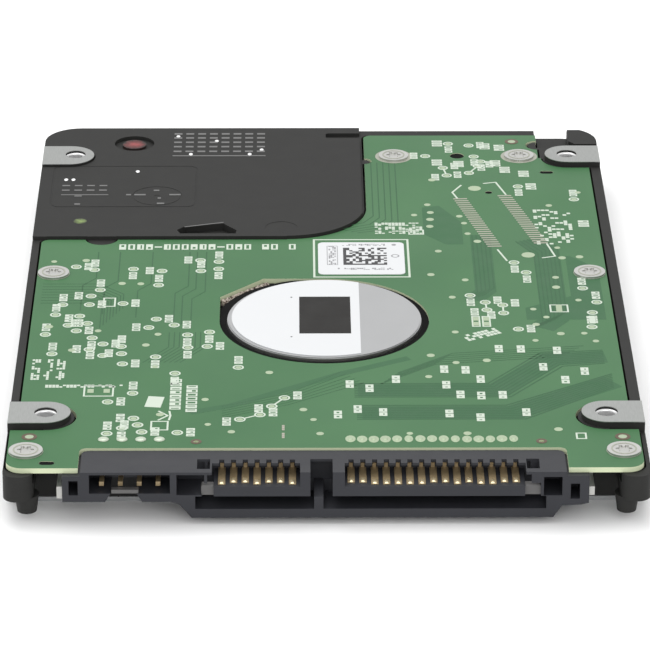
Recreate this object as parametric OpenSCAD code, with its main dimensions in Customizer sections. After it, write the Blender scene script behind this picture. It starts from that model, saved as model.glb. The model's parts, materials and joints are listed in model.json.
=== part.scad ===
// A 2.5-inch hard disk drive, 7 mm high, lying on its cover with the circuit board up.
// X runs across the drive, +Y runs from the connector end to the rear, and +Z points out
// of the circuit board's side. The origin is the centre of the cover's outer face.
// The layout is measured from the connector end, so a longer drive grows at the rear.

/* [Drive] */
// Width across the side faces
drive_w = 69.85; // [69.6:0.05:70.6]
// Length from the connector end to the rear end
drive_l = 100.2; // [99.9:0.1:101]
// Height from the cover to the mounting pads
drive_h = 7; // [6.9:0.1:7.6]

/* [Mounting holes] */
// Pitch of the base holes across the drive
hole_pitch_x = 61.72; // [61.5:0.01:61.9]
// Pitch of all the mounting holes along the drive
hole_pitch_y = 76.6; // [76.4:0.1:76.8]
// Distance of the first holes from the connector end
hole_from_end = 14; // [13.8:0.05:14.2]
// Radius of a tapped M3 hole
hole_r = 1.25; // [1.2:0.01:1.35]
// Depth of a base hole
base_hole_depth = 3; // [2.5:0.1:3]
// Depth of a side hole
side_hole_depth = 3.6; // [3.2:0.1:3.8]
// Drop of the side holes below the mounting pads
side_hole_drop = 3; // [2.9:0.05:3.1]

/* [Casting and cover] */
// Thickness of the cover sheet
cover_t = 0.5; // [0.4:0.05:0.55]
// Thickness of the gasket once it is squeezed
gasket_t = 0.4; // [0.3:0.05:0.5]
// Thickness of the casting's deck over the disk
deck_t = 0.8; // [0.6:0.05:0.9]
// Radius of the shroud around the disk
shroud_r = 33.1; // [32.9:0.05:33.2]
// Radius of a front mounting pad
front_pad_r = 2.75; // [2.5:0.05:2.9]
// Radius of the rear mounting pad on the left
rear_left_pad_r = 3.05; // [2.8:0.05:3.1]
// Radius of the rear mounting pad on the right
rear_right_pad_r = 2.75; // [2.5:0.05:2.8]

/* [Disk and spindle] */
// Distance of the spindle's axis from the connector end
spindle_from_end = 40.25; // [40.1:0.05:40.4]
// Radius of the disk
disk_r = 32.5; // [32:0.1:32.6]
// Radius of the disk's hole
disk_bore_r = 10; // [9.9:0.05:10.1]
// Thickness of the disk
disk_t = 0.635; // [0.5:0.005:0.8]
// Radius of the spindle's shaft
shaft_r = 1.25; // [1.1:0.05:1.4]
// Running clearance of the fluid bearing
shaft_gap = 0.02; // [0.01:0.005:0.05]
// Radius of the motor's bracket
bracket_r = 11.2; // [11:0.05:11.25]
// Radius of the motor's bearing sleeve
sleeve_r = 3.2; // [3.1:0.05:3.3]
// Number of stator teeth
stator_teeth = 9; // [6:3:12]

/* [Actuator] */
// Place of the pivot across the drive
pivot_x = -20.3; // [-20.6:0.1:-20]
// Distance of the pivot from the spindle, along the drive
pivot_ahead = 37.05; // [36.8:0.05:37.3]
// Distance from the pivot to the heads
head_reach = 35; // [34.5:0.1:35.3]
// Direction of the arms when they are parked, in degrees from +X
park_dir = -8.1; // [-8.4:0.1:-7.8]
// Direction of the voice coil when the arms are parked
coil_dir = 103; // [101:0.5:104]
// Stroke of the actuator, in degrees
stroke = 35; // [30:0.5:35]

/* [Circuit board] */
// Thickness of the circuit board
pcb_t = 0.6; // [0.5:0.05:0.7]
// Drop of the circuit board's outer face below the mounting pads
pcb_drop = 0.6; // [0.55:0.05:0.7]
// Clearance around the circuit board
pcb_gap = 0.25; // [0.15:0.05:0.35]
// Gap between the motor's bracket and the edge of the circuit board
motor_window_gap = 0.9; // [0.85:0.05:1.1]

/* [Connector] */
// Pitch of the signal and power contacts
contact_pitch = 1.27; // [1.25:0.01:1.28]
// Width of a contact
contact_w = 0.78; // [0.6:0.02:0.84]
// Pitch of the jumper pins
jumper_pitch = 2.03; // [1.98:0.01:2.06]

/* [Hidden] */
$fn = 64;

// The layout datum is 50.1 mm from the connector end, halfway along a standard drive.
datum = 50.1;
front = -datum;
rear = drive_l - datum;
half_w = drive_w / 2;
hole_x = hole_pitch_x / 2;
hole_y0 = front + hole_from_end;
hole_y1 = hole_y0 + hole_pitch_y;
spindle_y = front + spindle_from_end;
motor_window_r = bracket_r + motor_window_gap;
pivot_y = spindle_y + pivot_ahead;

// Heights, from the cover up
casting_z = cover_t + gasket_t;
disk_z = 1.95;
hub_z = 1.5;
clamp_z = 1.1;
cavity_z = drive_h - 2.4 - deck_t;
deck_z = drive_h - 2.4;
roof_in_z = drive_h - 1.45;
roof_z = drive_h - 0.25;
rim_z = drive_h - 0.7;
shelf_z = drive_h - 1.75;
pcb_top = drive_h - pcb_drop;
pcb_z = pcb_top - pcb_t;
bracket_top = drive_h - 0.35;
bracket_z = drive_h - 1.4;
side_hole_z = drive_h - side_hole_drop;
front_wall_y = -44.2;
rear_wall_in = rear - 1.7;
side_wall_in = half_w - 1.725;

// Places of the fasteners
cover_screw_at = [[-31.5, -41.6], [31.5, -41.6], [-31.4, 9], [31.4, 9],
                  [-31.2, rear - 3.7], [31.2, rear - 3.7]];
cover_head_r = 1.7;
pivot_head_r = 2;
pcb_screw_at = [[9.1, 41.1], [24.9, 41.1], [-31.9, 3.9], [31.5, 3.9],
                [-32.6, -44.9], [32.2, -44.9]];
pcb_head_r = 1.85;
pcb_head_t = 0.25;
screw_r = 0.75;
screw_recess = 0.3;
rear_boss = [31.2, rear - 3.7];
rear_boss_r = 2.4;
ramp_screw_at = [24, 24];

// Places and sizes that more than one piece shares
breather_at = [26.5, 33];
breather_hole_r = 0.4;
seal_at = [-23.6, 44.8];
seal_r = 1.5;
seal_recess_r = 2.5;
seal_recess = 0.45;
seal_drop = 0.12;
wedge_depth = 0.9;
mark_depth = 0.03;
post_in_x = 31.6;
vcm_front_y = 15.6;
vcm_right_x = 3.9;
label_t = 0.08;
fit = 0.02;
insulator_t = 0.2;
// The connector between the heads' flex and the board, as [left, front, right, rear]
head_conn = [8.1, 29.5, 12.5, 38.5];
head_conn_gap = 0.2;

// The head stack, from the cover up
arm_z = [1.05, 3];
arm_t = 0.5;
beam_z = [1.55, 2.9];
beam_t = 0.1;
slider_gap = 0.03;
coil_z = 2.5;
coil_t = 1.05;
coil_half = 17;
coil_in = 9.2;
coil_out = 16.9;
hub_r = 4.7;
pivot_bore = 3;
pivot_sleeve_r = 2.1;
pivot_shaft_r = 1.2;

// Colours
casting_colour = [0.2, 0.2, 0.2];
steel = [0.72, 0.73, 0.75];
bright = [0.85, 0.86, 0.88];
board_green = [0.28, 0.52, 0.34];
housing_grey = [0.3, 0.3, 0.33];
gold = [0.85, 0.68, 0.3];
chip_black = [0.08, 0.08, 0.09];
flex_brown = [0.6, 0.38, 0.16];
paper = [0.93, 0.93, 0.92];
magnet_grey = [0.5, 0.5, 0.52];
copper = [0.72, 0.4, 0.2];

// Everything is drawn in the layout and then centred on the drive's length.
module laid_out() translate([0, datum - drive_l / 2, 0]) children();

// A rectangle with round corners, from one corner to the other
module rrect(x0, y0, x1, y1, r) {
    translate([x0 + r, y0]) square([x1 - x0 - 2 * r, y1 - y0]);
    translate([x0, y0 + r]) square([x1 - x0, y1 - y0 - 2 * r]);
    for (x = [x0 + r, x1 - r], y = [y0 + r, y1 - r]) translate([x, y]) circle(r);
}

// A plain rectangle, from one corner to the other
module rect(x0, y0, x1, y1) translate([x0, y0]) square([x1 - x0, y1 - y0]);

// A block, from one corner to the other
module block(x0, y0, z0, x1, y1, z1) translate([x0, y0, z0]) cube([x1 - x0, y1 - y0, z1 - z0]);

// A slab of a flat shape, between two heights
module slab(z0, z1) translate([0, 0, z0]) linear_extrude(z1 - z0) children();

// A round bar between two heights
module bar(r, z0, z1) translate([0, 0, z0]) cylinder(r = r, h = z1 - z0);

// A ring between two heights
module ring(r0, r1, z0, z1) slab(z0, z1) difference() {
    circle(r1);
    circle(r0);
}

// A sector of a ring, between two directions under 120 degrees apart
module sector(r0, r1, a0, a1) {
    reach = 2 * r1;
    mid = (a0 + a1) / 2;
    intersection() {
        difference() {
            circle(r1);
            circle(r0);
        }
        polygon([[0, 0], reach * [cos(a0), sin(a0)], reach * [cos(mid), sin(mid)],
                 reach * [cos(a1), sin(a1)]]);
    }
}

// A pad with one round end, run out to the drive's side; side is -1 on the left
module pad_2d(side, y, r) {
    translate([side * hole_x, y]) circle(r);
    rect(min(side * hole_x, side * (half_w + 2)), y - r, max(side * hole_x, side * (half_w + 2)), y + r);
}

// The rear pads: the left one is larger and set nearer the side
module rear_pad_2d(side) {
    if (side > 0) pad_2d(1, hole_y1, rear_right_pad_r);
    else translate([-0.7, -0.3]) pad_2d(-1, hole_y1, rear_left_pad_r);
}

// The six-lobed drive of a small screw
module star_2d(r) {
    circle(0.72 * r);
    for (a = [0:60:300]) rotate(a) translate([0.8 * r, 0]) circle(0.25 * r);
}

// ---- casting ----

// The circuit board's outline; grow widens it for the pocket that it lies in
module pcb_outline(grow = 0) {
    left = -half_w + 1.125 - grow;
    right = half_w - 1.425 + grow;
    arm_left = 5.4 - grow;
    edge_y = 14.2 + grow;
    sweep_r = 9.7 - grow;
    difference() {
        union() {
            rrect(left, -36, right, edge_y, 1);
            rrect(-half_w + 0.325 - grow, -49.1, half_w - 0.725 + grow, -32.6 + grow, 1.8);
            rrect(arm_left, 8, right, 48.3 + grow, 1);
            difference() {
                rect(-4.3, edge_y - 0.5, arm_left + 0.5, 24);
                translate([-4.3, 24]) circle(sweep_r);
            }
        }
        rrect(-26.8 + grow, -53, 26 - grow, -44.1 - grow, 0.8);
        for (side = [-1, 1]) pad_2d(side, hole_y0, front_pad_r + 0.65 - grow);
        pad_2d(1, hole_y1, rear_right_pad_r + 0.5 - grow);
        rect(27.3 + grow, hole_y1, half_w + 2, 52);
        translate([27.4, 44.9]) circle(1.5 - grow);
        translate([-26.6, 14.6]) circle(2 - grow);
        translate([5.4, 39.5]) circle(0.9 - grow);
    }
}

// The opening in the board and its insulator for the motor, with its cut corner
module motor_window(grow = 0) {
    r = motor_window_r + grow;
    translate([0, spindle_y]) {
        circle(r);
        polygon([[0, 0], [-r, 0], [-r, r - 5.4], [-r + 5, r], [0, r]]);
    }
}

// The space inside the casting, seen from the cover
module cavity_2d(grow = 0) {
    translate([0, spindle_y]) circle(shroud_r + grow);
    difference() {
        rrect(-side_wall_in - grow, 13 - grow, side_wall_in + grow, rear_wall_in + grow, 3);
        for (side = [-1, 1]) {
            translate([side * rear_boss[0], rear_boss[1]]) circle(rear_boss_r - grow);
            rect(side < 0 ? -half_w : 30.6 + grow, hole_y1 - 2.3 + grow,
                 side < 0 ? -30.6 - grow : half_w, hole_y1 + 2.3 - grow);
            rect(side < 0 ? -half_w : 31.4 + grow, rear - 5, side < 0 ? -31.4 - grow : half_w, rear);
        }
    }
}

// The outline of the head connector, or of a hole around it
module head_conn_2d(grow = 0)
    rect(head_conn[0] - grow, head_conn[1] - grow, head_conn[2] + grow, head_conn[3] + grow);

// Round studs, such as the ones that carry the board's screws
module studs(places, r, z0, z1) for (p = places) translate(p) bar(r, z0, z1);

module casting_outline() {
    rrect(-half_w, front_wall_y, half_w, rear, 4.5);
    rect(-half_w, front_wall_y, half_w, 0);
}

module casting_posts() {
    for (side = [-1, 1]) {
        x_out = side * half_w;
        x_in = side * post_in_x;
        slab(2.8, pcb_z - 0.02) rrect(min(x_out, x_in), front, max(x_out, x_in), front_wall_y + 4, 1.5);
        translate([side * 32.4, front + 1.9, 1]) cylinder(r1 = 1.05, r2 = 1.35, h = 2);
    }
}

module casting_solid() {
    slab(casting_z, rim_z) casting_outline();
    casting_posts();
    intersection() {
        slab(casting_z, drive_h) casting_outline();
        union() {
            for (side = [-1, 1]) {
                slab(casting_z, drive_h) pad_2d(side, hole_y0, front_pad_r);
                slab(casting_z, drive_h) rear_pad_2d(side);
            }
            slab(casting_z, roof_z) difference() {
                rect(-half_w, 14.4, 4.9, rear);
                rrect(0.6, 46.6, 6, 48.2, 0.4);
                translate([-0.9, 0]) pad_2d(-1, hole_y1 - 0.3, rear_left_pad_r + 0.35);
            }
            slab(casting_z, roof_z) difference() {
                rect(31.4, 44.4, half_w, rear - 0.8);
                translate([28.4, 42.4]) circle(4.2);
            }
        }
    }
}

module casting_pocket() {
    difference() {
        slab(deck_z, drive_h + 1) pcb_outline(pcb_gap);
        translate([0, spindle_y, 0]) bar(bracket_r + 0.75, 0, drive_h + 1);
        studs(pcb_screw_at, 2, 0, pcb_z);
        for (side = [-1, 1]) slab(0, drive_h + 1) pad_2d(side, hole_y0, front_pad_r);
        slab(0, drive_h + 1) rear_pad_2d(1);
    }
    slab(pcb_z - 0.02, drive_h + 1) for (side = [-1, 1])
        rect(side < 0 ? -half_w - 1 : 31, front - 1, side < 0 ? -31 : half_w + 1, hole_y0 - front_pad_r);
    // a lower shelf at the rear right corner, open to the rear
    slab(shelf_z, drive_h + 1) difference() {
        rect(27.2, 44.2, 31.4, rear + 1);
        rear_pad_2d(1);
    }
}

// Marks on the raised roof over the actuator
module roof_marks() {
    recess = roof_z - mark_depth;
    slab(recess, drive_h) difference() {
        rrect(-33.4, 23.6, -15.4, 37.1, 1.2);
        rrect(-33.15, 23.85, -15.65, 36.85, 0.95);
    }
    translate([pivot_x, pivot_y]) {
        ring(2.85, 3.1, recess, drive_h);
        bar(0.35, recess, drive_h);
    }
    translate([-5, 17]) bar(2, recess, drive_h);
    translate(seal_at) bar(seal_recess_r, roof_z - seal_recess, drive_h);
    slab(roof_z - wedge_depth, drive_h)
        polygon([[-17.6, 16.4], [-17.2, 15.3], [-10.5, 15.3], [-10.4, 16.3], [-12, 18.4], [-16.6, 17.6]]);
}

module base_casting() color(casting_colour) difference() {
    union() {
        difference() {
            casting_solid();
            casting_pocket();
            roof_marks();
            slab(0, cavity_z) cavity_2d();
            // the deeper space for the voice coil motor
            difference() {
                slab(cavity_z - 0.1, roof_in_z)
                    rrect(-side_wall_in, vcm_front_y, vcm_right_x, rear_wall_in, 1.5);
                translate([-hole_x, hole_y1]) bar(2.6, 0, drive_h);
                translate([-rear_boss[0], rear_boss[1]]) bar(rear_boss_r, 0, drive_h);
                block(-half_w, hole_y1 - 2.3, 0, -30.6, hole_y1 + 2.3, drive_h);
            }
            // the motor's seat
            translate([0, spindle_y, 0]) bar(bracket_r + 0.03, cavity_z - 0.5, drive_h + 1);
            translate([0, spindle_y, 0]) bar(bracket_r + 1.5, rim_z - 0.15, drive_h + 1);
        }
        // studs that hang from the deck and the roof
        studs([pcb_screw_at[0], pcb_screw_at[1]], 2.1, cavity_z - 0.9, deck_z);
        translate([pivot_x, pivot_y]) bar(2, roof_in_z - 1.2, roof_in_z + 0.3);
    }
    // tapped holes
    for (x = [-hole_x, hole_x], y = [hole_y0, hole_y1])
        translate([x, y, 0]) bar(hole_r, drive_h - base_hole_depth, drive_h + 1);
    for (side = [-1, 1], y = [hole_y0, hole_y1])
        translate([side * (half_w - side_hole_depth), y, side_hole_z]) rotate([0, side * 90, 0])
            cylinder(r = hole_r, h = side_hole_depth + 1);
    studs(cover_screw_at, screw_r, 0, 3.3);
    studs(pcb_screw_at, screw_r, pcb_z - 1.9, drive_h);
    translate([pivot_x, pivot_y]) bar(screw_r, 0, roof_in_z + 0.2);
    translate(ramp_screw_at) bar(screw_r, cavity_z - 0.5, cavity_z + 0.45);
    // the way through the deck for the head connector
    slab(cavity_z - 0.5, drive_h) head_conn_2d(head_conn_gap);
}

// ---- cover side ----

module top_cover() color(steel) difference() {
    slab(0, cover_t) rrect(-half_w + 0.3, front_wall_y + 0.2, half_w - 0.3, rear - 0.3, 3.5);
    for (p = cover_screw_at) translate(p) {
        bar(cover_head_r + 0.1, -1, screw_recess);
        bar(screw_r + 0.1, -1, 1);
    }
    translate([pivot_x, pivot_y]) {
        bar(pivot_head_r + 0.1, -1, screw_recess);
        bar(screw_r + 0.1, -1, 1);
    }
    // a shallow ring pressed in around the spindle, and the label's recess
    translate([0, spindle_y]) ring(13.5, 14.6, -1, 0.1);
    slab(-1, 0.12) label_2d(0.2);
    translate(breather_at) bar(breather_hole_r, -1, 1);
}

module label_2d(grow = 0) difference() {
    rrect(-29 - grow, 12 - grow, 29 + grow, 43 + grow, 2);
    translate([pivot_x, pivot_y]) circle(3 - grow);
    translate(breather_at) circle(3 * breather_hole_r - grow);
}

module cover_label() color(paper) slab(0.02, 0.12) label_2d();

module cover_gasket() color(chip_black) slab(cover_t, casting_z) difference() {
    rrect(-half_w + 0.45, front_wall_y + 0.35, half_w - 0.45, rear - 0.45, 3.3);
    cavity_2d(0.3);
    for (p = cover_screw_at) translate(p) circle(1.15);
}

module countersunk_screw(head_r, head_z, head_t, tip_z) difference() {
    union() {
        bar(head_r, head_z, head_z + head_t);
        bar(screw_r - fit, head_z + head_t - 0.05, tip_z);
    }
    slab(head_z - 1, head_z + 0.6 * head_t) star_2d(0.55 * head_r);
}

module cover_screws() color(steel)
    for (p = cover_screw_at) translate(p) countersunk_screw(cover_head_r, 0.04, 0.26, 3.2);

module breather_filter() color(paper) translate(breather_at) bar(3, cover_t, cover_t + 0.9);

module recirculation_filter() color(paper) translate([29.6, 20]) rotate(-20)
    block(-1.1, -3.6, casting_z + 0.1, 1.1, 3.6, cavity_z - 0.02);

module desiccant_pack() color([0.8, 0.83, 0.86])
    slab(casting_z + 0.2, cavity_z - 0.02) rrect(12.2, 42.6, 21.8, rear_wall_in - 0.3, 0.6);

// ---- spindle motor ----

stator_in_r = 3.87;
rim_step = 0.12;

module at_spindle() translate([0, spindle_y, 0]) children();

module motor_bracket() color(steel) at_spindle() difference() {
    union() {
        bar(bracket_r, bracket_z, bracket_top);
        ring(bracket_r - 0.8, bracket_r, cavity_z - 0.05, bracket_z + 0.1);
        bar(stator_in_r - fit, 3, bracket_z + 0.1);
    }
    bar(sleeve_r, 2, bracket_top - 0.3);
    // a turned step around the middle of the outer face
    ring(3.6, 4, bracket_top - 0.1, drive_h);
    ring(bracket_r - rim_step, bracket_r + 1, bracket_top - rim_step, drive_h);
}

module motor_label() color(paper) at_spindle() slab(bracket_top, bracket_top + 0.07) difference() {
    translate([0.13, 0.17]) circle(bracket_r - rim_step - 0.25);
    rect(4.1, -20, 20, 20);
    // its printed frame leaves a bare square over the shaft
    rect(-2.9, -4.5, 3.05, 6.1);
}

module bearing_sleeve() color([0.75, 0.6, 0.35]) at_spindle() difference() {
    bar(sleeve_r - fit / 2, 2.6, bracket_top - 0.3 - fit);
    bar(shaft_r + shaft_gap, 2, bracket_top - 0.62);
}

module stator_core() color(magnet_grey) at_spindle() slab(3.4, 4.5) {
    difference() {
        circle(4.7);
        circle(stator_in_r);
    }
    for (k = [0:stator_teeth - 1]) rotate(k * 360 / stator_teeth) {
        rect(4.5, -0.4, 7, 0.4);
        sector(6.75, 7.25, -12, 12);
    }
}

module stator_coils() color(copper) at_spindle()
    for (k = [0:stator_teeth - 1]) rotate(k * 360 / stator_teeth) difference() {
        block(4.95, -0.75, 3.05, 6.6, 0.75, 4.85);
        block(4, -0.41, 3.39, 8, 0.41, 4.51);
    }

flex_dir = 132.6;
module motor_flex() color(flex_brown) {
    flex_start = bracket_r + 1.6;
    slab(deck_z, deck_z + 0.12) at_spindle() rotate(flex_dir)
        polygon([[flex_start, -0.9], [22.4, -3.05], [22.4, 3.05], [flex_start, 0.9]]);
    translate([-15.4, 6.4, 0]) rotate(42) for (k = [-1.5:1.5])
        block(1.3 * k - 0.3, -1.5, deck_z + 0.12, 1.3 * k + 0.3, 1.5, pcb_z);
}

module spindle_shaft() color(bright) at_spindle() difference() {
    bar(shaft_r, hub_z, bracket_top - 0.7);
    bar(0.6, 1, 3.6);
}

// The rotor's magnet ring lines the hub's skirt.
magnet_r = 8.65;
magnet_in_r = 7.5;
hub_web_z = 2.35;
hub_flange_r = 11.5;
clamp_r = 11.3;

module rotor_hub() color(bright) at_spindle() difference() {
    union() {
        bar(disk_bore_r - fit, hub_z, bracket_z - 0.4);
        bar(hub_flange_r, disk_z + disk_t, 3.35);
    }
    bar(shaft_r, 0, drive_h);
    bar(magnet_r, hub_web_z, drive_h);
}

module rotor_magnet() color(magnet_grey) at_spindle() ring(magnet_in_r, magnet_r, hub_web_z + 0.05, bracket_z - 0.5);

module platter() color(bright) at_spindle() ring(disk_bore_r, disk_r, disk_z, disk_z + disk_t);

module disk_clamp() color(steel) at_spindle() difference() {
    union() {
        bar(clamp_r, clamp_z, hub_z);
        ring(clamp_r - 0.8, clamp_r, clamp_z, disk_z);
    }
    bar(0.85, 0, 3);
    for (a = [0:60:300]) rotate(a) translate([6.6, 0]) bar(0.9, 0, 3);
}

module clamp_screw() color(steel) at_spindle() difference() {
    union() {
        bar(2.3, clamp_z - 0.4, clamp_z);
        bar(0.6, 1, 3.4);
    }
    slab(0, 0.95) star_2d(1.1);
}

// ---- actuator ----

module at_pivot() translate([pivot_x, pivot_y, 0]) children();

module arm_2d() {
    rotate(park_dir) polygon([[2, -4.2], [9, -3.6], [23.5, -1.9], [24.3, 0], [23.5, 1.9], [9, 3.6], [2, 4.2]]);
    circle(hub_r);
}

module actuator_arm() color(steel) at_pivot() difference() {
    union() {
        for (z = arm_z) slab(z, z + arm_t) difference() {
            arm_2d();
            rotate(park_dir) translate([12, 0]) circle(1.7);
        }
        bar(hub_r, 0.8, 3.7);
        // the fork that holds the voice coil
        slab(coil_z, coil_z + coil_t) difference() {
            sector(3.5, coil_out + 0.6, coil_dir - coil_half - 2.5, coil_dir + coil_half + 2.5);
            sector(coil_in - 0.05, coil_out + 0.05, coil_dir - coil_half - 0.2, coil_dir + coil_half + 0.2);
        }
        rotate(38) block(3.6, -0.9, 0.9, 5.4, 0.9, 2.4);
    }
    bar(pivot_bore, 0, drive_h);
}

module voice_coil() color(copper) at_pivot() slab(coil_z, coil_z + coil_t) difference() {
    sector(coil_in, coil_out, coil_dir - coil_half, coil_dir + coil_half);
    sector(coil_in + 2, coil_out - 2, coil_dir - 7.5, coil_dir + 7.5);
}

module pivot_sleeve() color(bright) at_pivot() ring(pivot_sleeve_r, pivot_bore, 0.75, 3.8);

module pivot_bearings() color(magnet_grey) at_pivot() {
    for (z = [0.9, 2.9]) ring(pivot_shaft_r, pivot_sleeve_r - 2 * fit, z, z + 0.8);
}

module pivot_shaft() color(steel) at_pivot() difference() {
    union() {
        bar(pivot_shaft_r, 0.6, roof_in_z - 1.2);
        bar(2, 3.9, roof_in_z - 1.2);
    }
    bar(screw_r, 0, drive_h);
}

module pivot_screw() color(steel) at_pivot() countersunk_screw(pivot_head_r, 0.04, 0.26, roof_in_z - 0.1);

// One load beam, pointing along +X, with its lift tab at the end
module beam_2d() polygon([[19.5, -2.2], [24, -2.2], [head_reach - 1, -0.75], [head_reach + 1, -0.35],
                          [head_reach + 3.3, -0.2], [head_reach + 3.3, 0.2], [head_reach + 1, 0.35],
                          [head_reach - 1, 0.75], [24, 2.2], [19.5, 2.2]]);

module suspensions() color(bright) at_pivot() rotate(park_dir)
    for (z = beam_z) slab(z, z + beam_t) beam_2d();

module head_sliders() color(chip_black) at_pivot() rotate(park_dir) {
    block(head_reach - 0.6, -0.38, beam_z[0] + beam_t, head_reach + 0.6, 0.38, disk_z - slider_gap);
    block(head_reach - 0.6, -0.38, disk_z + disk_t + slider_gap, head_reach + 0.6, 0.38, beam_z[1]);
}

module preamp_chip() color(chip_black) at_pivot() rotate(10) block(hub_r + 0.01, -1.2, 1.65, hub_r + 0.5, 1.2, 2.85);

// The flexible circuit that bends as the arms swing
flex_r = 7.4;
module head_flex() color(flex_brown) translate([-9.1, 29.6]) slab(0.95, 2.2)
    for (a = [[20, 94.5], [94, 168]]) sector(flex_r - 0.06, flex_r + 0.06, a[0], a[1]);

module flex_bracket() color(housing_grey) {
    slab(casting_z + 0.1, 3.5) rrect(-2.1, 30.6, 13.6, 37.4, 0.8);
    slab(3.4, cavity_z - 0.02) rect(-1, 33, 5.5, 35);
}

module head_connector() color(chip_black) difference() {
    slab(3.5, pcb_z) head_conn_2d();
    for (k = [0:12]) translate([head_conn[0] - 0.1, head_conn[1] + 0.4 + 0.64 * k, pcb_z - 0.4])
        cube([1.2, 0.35, 2]);
}

magnet_dir = coil_dir - stroke / 2;
module vcm_plate(z0, z1, r1) at_pivot() slab(z0, z1)
    sector(7.2, r1, magnet_dir - 28, magnet_dir + 28);

module vcm_lower_yoke() color(steel) vcm_plate(cover_t + 0.05, 1.15, 18.9);

module vcm_upper_yoke() color(steel) vcm_plate(4.8, roof_in_z - 0.02, 18.9);

module vcm_magnets() color(magnet_grey) at_pivot() for (z = [[1.15, 2.2], [3.85, 4.8]])
    slab(z[0], z[1]) sector(8.4, 17.6, magnet_dir - 26, magnet_dir + 26);

// Rubber posts just beyond the fork's edge at each end of the stroke
module crash_stops() color(chip_black) at_pivot() {
    for (a = [coil_dir + coil_half + 2.5, coil_dir - coil_half - 2.5 - stroke]) {
        side = a > coil_dir ? 1 : -1;
        rotate(a) translate([9, side * 1.2]) bar(1, 2.4, roof_in_z);
    }
}

latch_at = [-31.4, 30.5];
latch_pin_r = 0.6;
module latch_lever() color(paper) translate(latch_at) slab(coil_z, coil_z + 1) difference() {
    union() {
        circle(1.25);
        rect(-0.5, 0, 0.5, 7);
        rect(-0.5, 6.2, 4, 7);
    }
    circle(latch_pin_r + 0.05);
}

module latch_pin() color(steel) translate(latch_at) {
    bar(latch_pin_r, 2.3, roof_in_z);
    bar(1, coil_z + 1.1, roof_in_z);
}

// ---- ramp ----

module ramp() color(paper) difference() {
    union() {
        at_pivot() slab(1.7, 2.85) sector(head_reach + 1.3, head_reach + 4.2, park_dir - 8, park_dir + 4);
        slab(1.7, cavity_z - 0.02) polygon([[19.4, 17.6], [26.6, 20], [26.6, 27.4], [18.4, 27.4], [18.4, 21.4]]);
    }
    at_spindle() bar(disk_r + 0.3, disk_z - 0.07, disk_z + disk_t + 0.1);
    translate(ramp_screw_at) {
        bar(screw_r, 0, drive_h);
        bar(1.5, 0, 2.3);
    }
}

module ramp_screw() color(steel) translate(ramp_screw_at) difference() {
    union() {
        bar(1.4, 1.8, 2.3);
        bar(screw_r - fit, 2.2, cavity_z + 0.4);
    }
    slab(1, 2.05) star_2d(0.75);
}

// ---- circuit board side ----

module seal_plug() color([0.55, 0.2, 0.2]) translate(seal_at)
    bar(seal_r, roof_z - seal_recess, roof_z - seal_drop);

// Holes through the board beside its screws: place and radius
pcb_hole_at = [[17.1, 41.3, 0.9], [20.6, 29.1, 0.45], [24.2, 46.1, 0.35], [-32.4, -41.2, 0.3],
               [32.3, -41.4, 0.3], [-14.2, -42.5, 0.3], [23.4, -42.5, 0.3]];
pcb_slot_at = [[28.1, 35.7], [-30.2, -47.8]];

module pcb() color(board_green) slab(pcb_z, pcb_top) difference() {
    pcb_outline();
    motor_window();
    for (p = pcb_screw_at) translate(p) circle(1.1);
    for (p = pcb_hole_at) translate([p[0], p[1]]) circle(p[2]);
    for (p = pcb_slot_at) {
        translate(p) square([0.8, 0.9], center = true);
        for (x = [-0.4, 0.4]) translate([p[0] + x, p[1]]) circle(0.45);
    }
    for (x = power_x) translate([x, tail_y]) circle(pin_hole_r);
    for (x = jumper_x) translate([x, tail_y]) circle(jumper_hole_r);
}

module pcb_insulator() color([0.25, 0.25, 0.27]) slab(deck_z, deck_z + insulator_t) difference() {
    intersection() {
        pcb_outline(-0.6);
        rect(-50, -40.2, 50, 50);
    }
    motor_window(1.2);
    polygon([[-6, -4], [-3, 1], [-12, 12], [-22, 3]]);
    for (p = pcb_screw_at) translate(p) circle(2.4);
    head_conn_2d(0.9);
    rect(31, -60, 60, 60);
    rect(-60, -60, -31, 60);
}

module pcb_screws() color(bright) for (p = pcb_screw_at) translate(p) difference() {
    union() {
        bar(pcb_head_r, pcb_top, pcb_top + pcb_head_t);
        bar(screw_r - fit, pcb_z - 1.8, pcb_top + 0.05);
    }
    slab(pcb_top + 0.3 * pcb_head_t, drive_h + 1) star_2d(0.48 * pcb_head_r);
}

// A chip on the board's inner face
module chip(x, y, w, l, t) block(x - w / 2, y - l / 2, pcb_z - t, x + w / 2, y + l / 2, pcb_z);

module controller_chip() color(chip_black) chip(-21.5, -25.5, 12, 12, 0.85);

module motor_driver_chip() color(chip_black) chip(20.5, -26, 7, 7, 0.8);

module memory_chip() color(chip_black) chip(-22.5, -8.5, 8, 11, 0.8);

module flash_chip() color(chip_black) chip(21.5, 12, 5, 6, 0.75);

module capacitors() color([0.62, 0.52, 0.42]) {
    for (k = [0:5]) chip(-24 + 3.2 * k, -35.6, 1.6, 0.8, 0.7);
    for (k = [0:4]) chip(28.6, -20 + 4.4 * k, 1.2, 2, 0.75);
    for (k = [0:2]) chip(12.5, -34 + 3 * k, 3.2, 1.6, 0.8);
}

module inductors() color(magnet_grey) for (p = [[5, -31], [24, -36], [26.5, 20]])
    chip(p[0], p[1], 3, 3, 0.8);

module crystal() color(bright) chip(-10.5, -30, 3.2, 2.5, 0.7);

module shock_sensors() color([0.8, 0.78, 0.7]) {
    chip(-28, 8, 3.2, 1.6, 0.75);
    chip(28, 30, 1.6, 3.2, 0.75);
}

module pcb_label() color(paper) slab(pcb_top, pcb_top + label_t)
    rrect(-0.6, max(3.4, spindle_y + motor_window_r + 0.6), 9.7, 13.1, 0.7);

// ---- connector ----

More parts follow.
